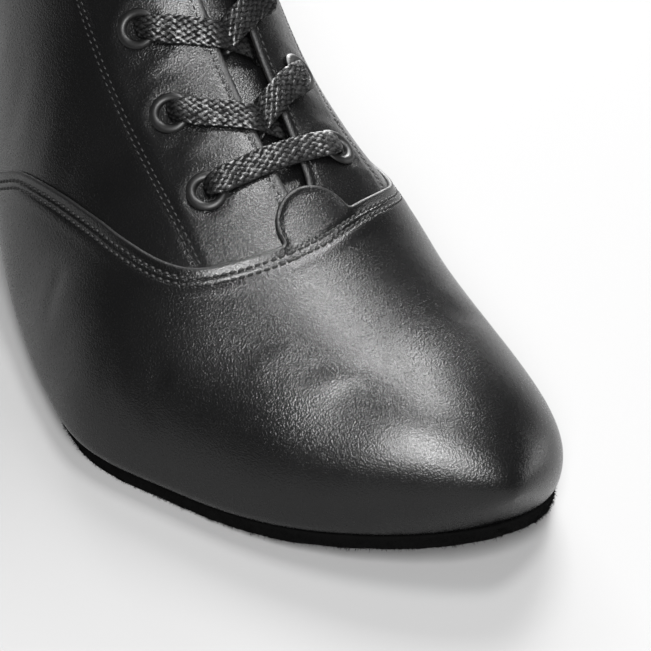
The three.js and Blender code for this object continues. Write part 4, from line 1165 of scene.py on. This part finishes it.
# Laces: heights of the lace's middle over the flange, over the leather and under the wall, how far two
# runs lie apart where they cross, and how far beside an eyelet a run comes down to the leather
OVER_FLANGE = EYELET_SEAT + EYELET_RISE + CLEARANCE + LACE_THICKNESS / 2 - 0.25
OVER_LEATHER = 0.5 * CLEARANCE + LACE_THICKNESS / 2
UNDER_WALL = -WALL - CLEARANCE - LACE_THICKNESS / 2 - 0.05
CROSSING = 0.42 * LACE_THICKNESS
BESIDE = EYELET_FLANGE + 0.6 * LACE_THICKNESS + 0.35 * LACE_WIDTH


def lace_stop(length, arc, height, width):
    """Point, width direction, width: a place of the lace's middle over the quarters' surface."""
    point, normal, up = frame_at(length, arc)
    return np.concatenate([point + normal * (height - VAMP_STEP), up, [width]])


def over_eyelet(hand, row, slope):
    """Stops from inside an eyelet's bore, over its flange, to the facing beside it: each a distance
    inwards, a height and a width."""
    point, normal, up = frame_at(eye_length(hand, row), eye_round(hand, row))
    inwards = unit(np.cross(up, normal)) * -hand
    stops = [(0.3, UNDER_WALL, LACE_BUNCHED), (0.1, -0.4, LACE_BUNCHED),
             (0.2, EYELET_SEAT + 0.65, LACE_BUNCHED + 0.5), (1.7, OVER_FLANGE + 0.12, 0.82 * LACE_WIDTH),
             (EYELET_FLANGE - 0.4, OVER_FLANGE, LACE_WIDTH * math.hypot(1, slope))]
    return [np.concatenate([
        point + inwards * away + up * slope * away + normal * (height - VAMP_STEP), up, [width]])
        for away, height, width in stops]


def run_line(hand, row, next_hand, next_row):
    """Straight line on the facings from one eyelet to another: its start, its rise, and stops on it."""
    start, length = eye_round(hand, row), eye_length(hand, row)
    rise = (eye_length(next_hand, next_row) - length) / (eye_round(next_hand, next_row) - start)

    def at(arc, height, width=LACE_WIDTH * math.hypot(1, rise)):
        """A stop on the line; a slanting lace is wider along the leg."""
        return lace_stop(length + rise * (arc - start), arc, height, width)

    return start, rise, at


def bottom_bar():
    """The lowest run, straight across from eyelet to eyelet."""
    _, rise, at = run_line(-1, 0, 1, 0)
    middle = [at(eye_round(-1, 0) + BESIDE, OVER_LEATHER + 0.4), at(EYELET_SHIFT, OVER_LEATHER + 0.1),
              at(eye_round(1, 0) - BESIDE, OVER_LEATHER + 0.4)]
    return over_eyelet(-1, 0, rise) + middle + over_eyelet(1, 0, -rise)[::-1]


def crossing_run(row, hand, crossing):
    """A run from inside one row, out at the facing's edge, over the throat and into the next row's
    eyelet."""
    start, rise, at = run_line(hand, row, -hand, row + 1)
    edge = hand * float(throat_half((eye_length(hand, row) + eye_length(-hand, row + 1)) / 2))
    beside = eye_round(-hand, row + 1) + hand * BESIDE
    stops = [at(start + hand * 1.6, UNDER_WALL, LACE_BUNCHED),
             at(start - hand * EYELET_SPREAD / 6, UNDER_WALL), at(edge - hand * 0.6, UNDER_WALL),
             at(edge - hand * 2.2, -0.7 * WALL), at(0, crossing),
             at(-edge + hand * 0.3, OVER_LEATHER + 0.25), at(beside, OVER_LEATHER + 0.45)]
    return stops + over_eyelet(-hand, row + 1, hand * rise)[::-1]


def braid_relief(along, across):
    """Plait of a flat braid: two families of diagonal strands, each with a round back, that rise and dip
    in turn so that one passes over the other; the higher one shows. along and across are in mm."""
    p = along / BRAID_PITCH + across / BRAID_STEP
    q = along / BRAID_PITCH - across / BRAID_STEP
    back_p = 1 - (2 * (p % 1) - 1) ** 2
    back_q = 1 - (2 * (q % 1) - 1) ** 2
    turn_p = 0.5 + 0.5 * np.cos(np.pi * (np.floor(p) - q + 0.5))
    turn_q = 0.5 - 0.5 * np.cos(np.pi * (p - np.floor(q) - 0.5))
    return np.maximum(back_p * (0.3 + 0.7 * turn_p), back_q * (0.3 + 0.7 * turn_q))


def lace_tube(skin, stops, seed):
    """A flat braid through the stops: the middle line is a smooth curve, the section a superellipse whose
    width lies along the facings, with the plait's relief on both faces and scallops along both edges. The
    ends are closed."""
    stops = np.array(stops)
    gaps = np.maximum(np.linalg.norm(np.diff(stops[:, :3], axis=0), axis=1), 0.2)
    chord = np.concatenate([[0], np.cumsum(gaps)])
    fine = evenly(through(chord, stops, np.linspace(0, chord[-1], 900)), 0.27)
    middle, up, width = fine[:, :3], unit(fine[:, 3:6]), fine[:, 6]
    middle = soften(middle, 1.2)
    direction = tangents(middle)
    thick = unit(np.cross(up, direction))
    turn = np.linspace(0, 2 * math.pi, 45)[:-1]
    x = np.sign(np.cos(turn)) * np.abs(np.cos(turn)) ** 1.1
    y = np.sign(np.sin(turn)) * np.abs(np.sin(turn)) ** 0.7
    lean = (up * direction).sum(-1)
    real = width * np.sqrt(np.clip(1 - lean ** 2, 0.05, 1))
    along = run(middle)[:, None] + lean[:, None] * x[None] * width[:, None] / 2 + seed
    across = x[None] * real[:, None] / 2 * (1 + 0.25 * (LACE_WIDTH / real[:, None] - 1))
    across = across + 0.4 * np.sign(y)[None]
    relief = braid_relief(along, across)
    flatness = np.abs(y)[None]
    bunch = np.clip((LACE_WIDTH - real) / LACE_WIDTH, 0, 0.5)[:, None]
    half_thick = LACE_THICKNESS / 2 * (1 + 1.1 * bunch)
    lift = (half_thick * 0.80 + 0.36 * (relief - 0.62)) * y[None]
    scallop = 1 + 0.06 * (np.abs(np.sin(math.pi * along / 1.15)) - 0.5) * (1 - flatness)
    spread = x[None] * width[:, None] / 2 * scallop
    ring = middle[:, None] + up[:, None] * spread[..., None] + thick[:, None] * lift[..., None]
    index = skin.grid(ring, along=along, across=across)
    skin.quads(index, wrap=True)
    for end, order in ((0, -1), (-1, 1)):
        centre = skin.grid(np.repeat(middle[end][None, None], len(turn), 1), along=along[end].mean())
        skin.quads(np.concatenate([index[end][None], centre])[::order], wrap=True)


def make_laces(name, rows):
    """Some runs of the lace as one mesh: two crossing runs for each row, and the bar under the lowest
    row."""
    skin = Skin()
    if 0 in rows:
        lace_tube(skin, bottom_bar(), 0.0)
    for row in rows:
        lace_tube(skin, crossing_run(row, -1, CROSSING), 0.7 * row)
        lace_tube(skin, crossing_run(row, 1, -CROSSING), 0.4 + 0.9 * row)
    piece = skin.piece(name, BRAID, weld=1e-7)
    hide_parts("laces")


make_laces("laces_lower", range(0, 3))
make_laces("laces_upper", range(3, EYELET_PAIRS - 1))

# Stitches, in millimetres
VAMP_STITCH = {"pitch": 2.05, "length": 1.92, "radius": 0.40, "sink": -0.04}
FACING_STITCH = {"pitch": 2.0, "length": 1.6, "radius": 0.24, "sink": -0.02}
EDGE_STITCH = {"pitch": 2.0, "length": 1.55, "radius": 0.22, "sink": -0.02}


def stitches(skin, line, normals, pitch, length, radius, sink, slant):
    """A row of stitches along a line: short capsules, each a ring of six points at seven stations whose
    radius follows a rounded profile, its ends dipping into the leather. Each is turned by a slant and
    sunk."""
    table = evenly(np.concatenate([line, normals], 1), pitch / 2)[1::2]
    middle, normal = table[:, :3], unit(table[:, 3:6])
    direction = tangents(middle)
    side = unit(np.cross(normal, direction))
    direction = direction * math.cos(slant) + side * math.sin(slant)
    side = unit(np.cross(normal, direction))
    stations = np.array([-1, -0.86, -0.55, 0, 0.55, 0.86, 1.0])
    girth = np.array([0.05, 0.62, 0.95, 1.0, 0.95, 0.62, 0.05]) * radius
    dip = -(np.abs(stations) ** 3) * radius * 1.3
    turn = np.linspace(0, 2 * math.pi, 7)[:-1]
    points = (
        middle[:, None, None] + direction[:, None, None] * (stations * length / 2)[None, :, None, None]
        + normal[:, None, None] * (dip[:, None] + girth[:, None] * np.sin(turn) - sink)[..., None]
        + side[:, None, None] * (girth[:, None] * np.cos(turn))[..., None])
    index = skin.grid(points)
    ring = np.concatenate([index, index[..., :1]], -1)
    a, b, c, d = ring[:, :-1, :-1], ring[:, :-1, 1:], ring[:, 1:, 1:], ring[:, 1:, :-1]
    skin.faces.append(np.stack([a, d, c, b], -1).reshape(-1, 4))
    for end, order in ((0, (0, 1, 2, 3)), (0, (0, 3, 4, 5)), (-1, (3, 2, 1, 0)), (-1, (5, 4, 3, 0))):
        skin.faces.append(index[:, end][:, list(order)])


def vamp_seam(depth):
    """The line on the vamp's surface at a depth below its plain edge, found along each column between
    grid rows."""
    rows = np.arange(VAMP_BELOW.shape[0])[:, None]
    over = (VAMP_BELOW < depth) & (rows > 20)
    i = np.argmax(over, axis=0)
    columns = np.arange(VAMP_BELOW.shape[1])
    a, b = VAMP_BELOW[i - 1, columns], VAMP_BELOW[i, columns]
    q = np.clip((a - depth) / np.where(np.abs(a - b) < 1e-9, 1, a - b), 0, 1)[:, None]
    line = VAMP_POINTS[i - 1, columns] * (1 - q) + VAMP_POINTS[i, columns] * q
    after, before = np.minimum(columns + 1, columns[-1]), np.maximum(columns - 1, 0)
    across = VAMP_POINTS[i, after] - VAMP_POINTS[i, before]
    along = VAMP_POINTS[i, columns] - VAMP_POINTS[i - 3, columns]
    return line, unit(np.cross(across, along))


def on_quarter(lengths, arcs):
    """Line on a quarter's surface, a little sunk, and its normals."""
    place = place_of(lengths)
    around = round_of(place, arcs)
    normal = outward(place, around)
    return form(place, around) + normal * (-VAMP_STEP - 0.1), normal


def make_stitching():
    """Double rows under the vamp's edge, double rows from the collar down each facing, and a single row
    along each facing's edge and each collar."""
    skin, count = Skin(), 300
    for depth in VAMP_SEAMS:
        line, normal = vamp_seam(depth)
        stitches(skin, line[2:-2], normal[2:-2], slant=0.10, **VAMP_STITCH)
    for hand in (-1, 1):
        length = np.linspace(-9.0, RIDGE_LENGTH - 1.5, count)
        for shift in (-SEAM_HALF, SEAM_HALF):
            line, normal = on_quarter(length, facing_line(hand, length) + shift)
            stitches(skin, line, normal, slant=-0.22 * hand, **FACING_STITCH)
        length = np.linspace(-1.0, RIDGE_LENGTH - 2.2, count)
        line, normal = on_quarter(length, hand * (throat_half(length) + EDGE_SEAM))
        stitches(skin, line, normal, slant=0.15 * hand, **EDGE_STITCH)
        length = np.full(count, RIDGE_LENGTH - 2.5)
        line, normal = on_quarter(length, arc_of(place_of(length), hand * np.linspace(0.04, 0.985, count)))
        stitches(skin, line, normal, slant=0.0, **EDGE_STITCH)
    return skin.piece("stitching", THREAD)


STITCHING = make_stitching()

# Floor and light. Each soft box: degrees round and above, distance, width and height in metres, watts
FLOOR_GREY, FLOOR_REACH, ROOM_LIGHT = 0.185, 3000, 0.1
LIT_POINT = Vector((0.06, 0.0, 0.03))
LIGHTS = {
    "front": (-27, 49, 1.3, 0.36, 0.9, 52),
    "overhead": (118, 80, 1.3, 0.22, 0.3, 17),
    "key": (152, 50, 1.5, 0.5, 0.5, 38),
    "back": (158, 14, 1.5, 1.1, 0.5, 66),
    "rim": (76, 5, 1.4, 0.9, 0.2, 5),
}


def make_floor():
    """A pale floor, far wider than the view."""
    f = Finish("pale_floor", specular_ior_level=0.1, roughness=0.9)
    f.shader.inputs["Base Color"].default_value = (FLOOR_GREY, FLOOR_GREY, FLOOR_GREY, 1)
    skin = Skin()
    x = np.linspace(-FLOOR_REACH, FLOOR_REACH, 3)
    index = skin.grid(np.stack([*np.meshgrid(x, x, indexing="ij"), np.zeros((3, 3))], -1))
    skin.quads(index, flip=True)
    floor = skin.piece("floor", f.material)


def make_light(name, around, above, distance, width, height, power):
    """A soft box that faces the forefoot, from degrees around the vertical and degrees above the
    floor."""
    data = bpy.data.lights.new(name, "AREA")
    data.shape = "RECTANGLE"
    data.size, data.size_y = width, height
    data.energy = power
    lamp = bpy.data.objects.new(name, data)
    bpy.context.scene.collection.objects.link(lamp)
    turn, lift = math.radians(around), math.radians(above)
    d = Vector((math.cos(lift) * math.cos(turn), math.cos(lift) * math.sin(turn), math.sin(lift)))
    lamp.location = LIT_POINT + d * distance
    lamp.rotation_euler = d.to_track_quat("Z", "Y").to_euler()


make_floor()
for light_name, light_values in LIGHTS.items():
    make_light(light_name, *light_values)
world = bpy.data.worlds.new("studio")
bpy.context.scene.world = world
world.use_nodes = True
background = world.node_tree.nodes["Background"].inputs
background["Color"].default_value = (1, 1, 1, 1)
background["Strength"].default_value = ROOM_LIGHT
bpy.context.scene.view_settings.view_transform = "Standard"
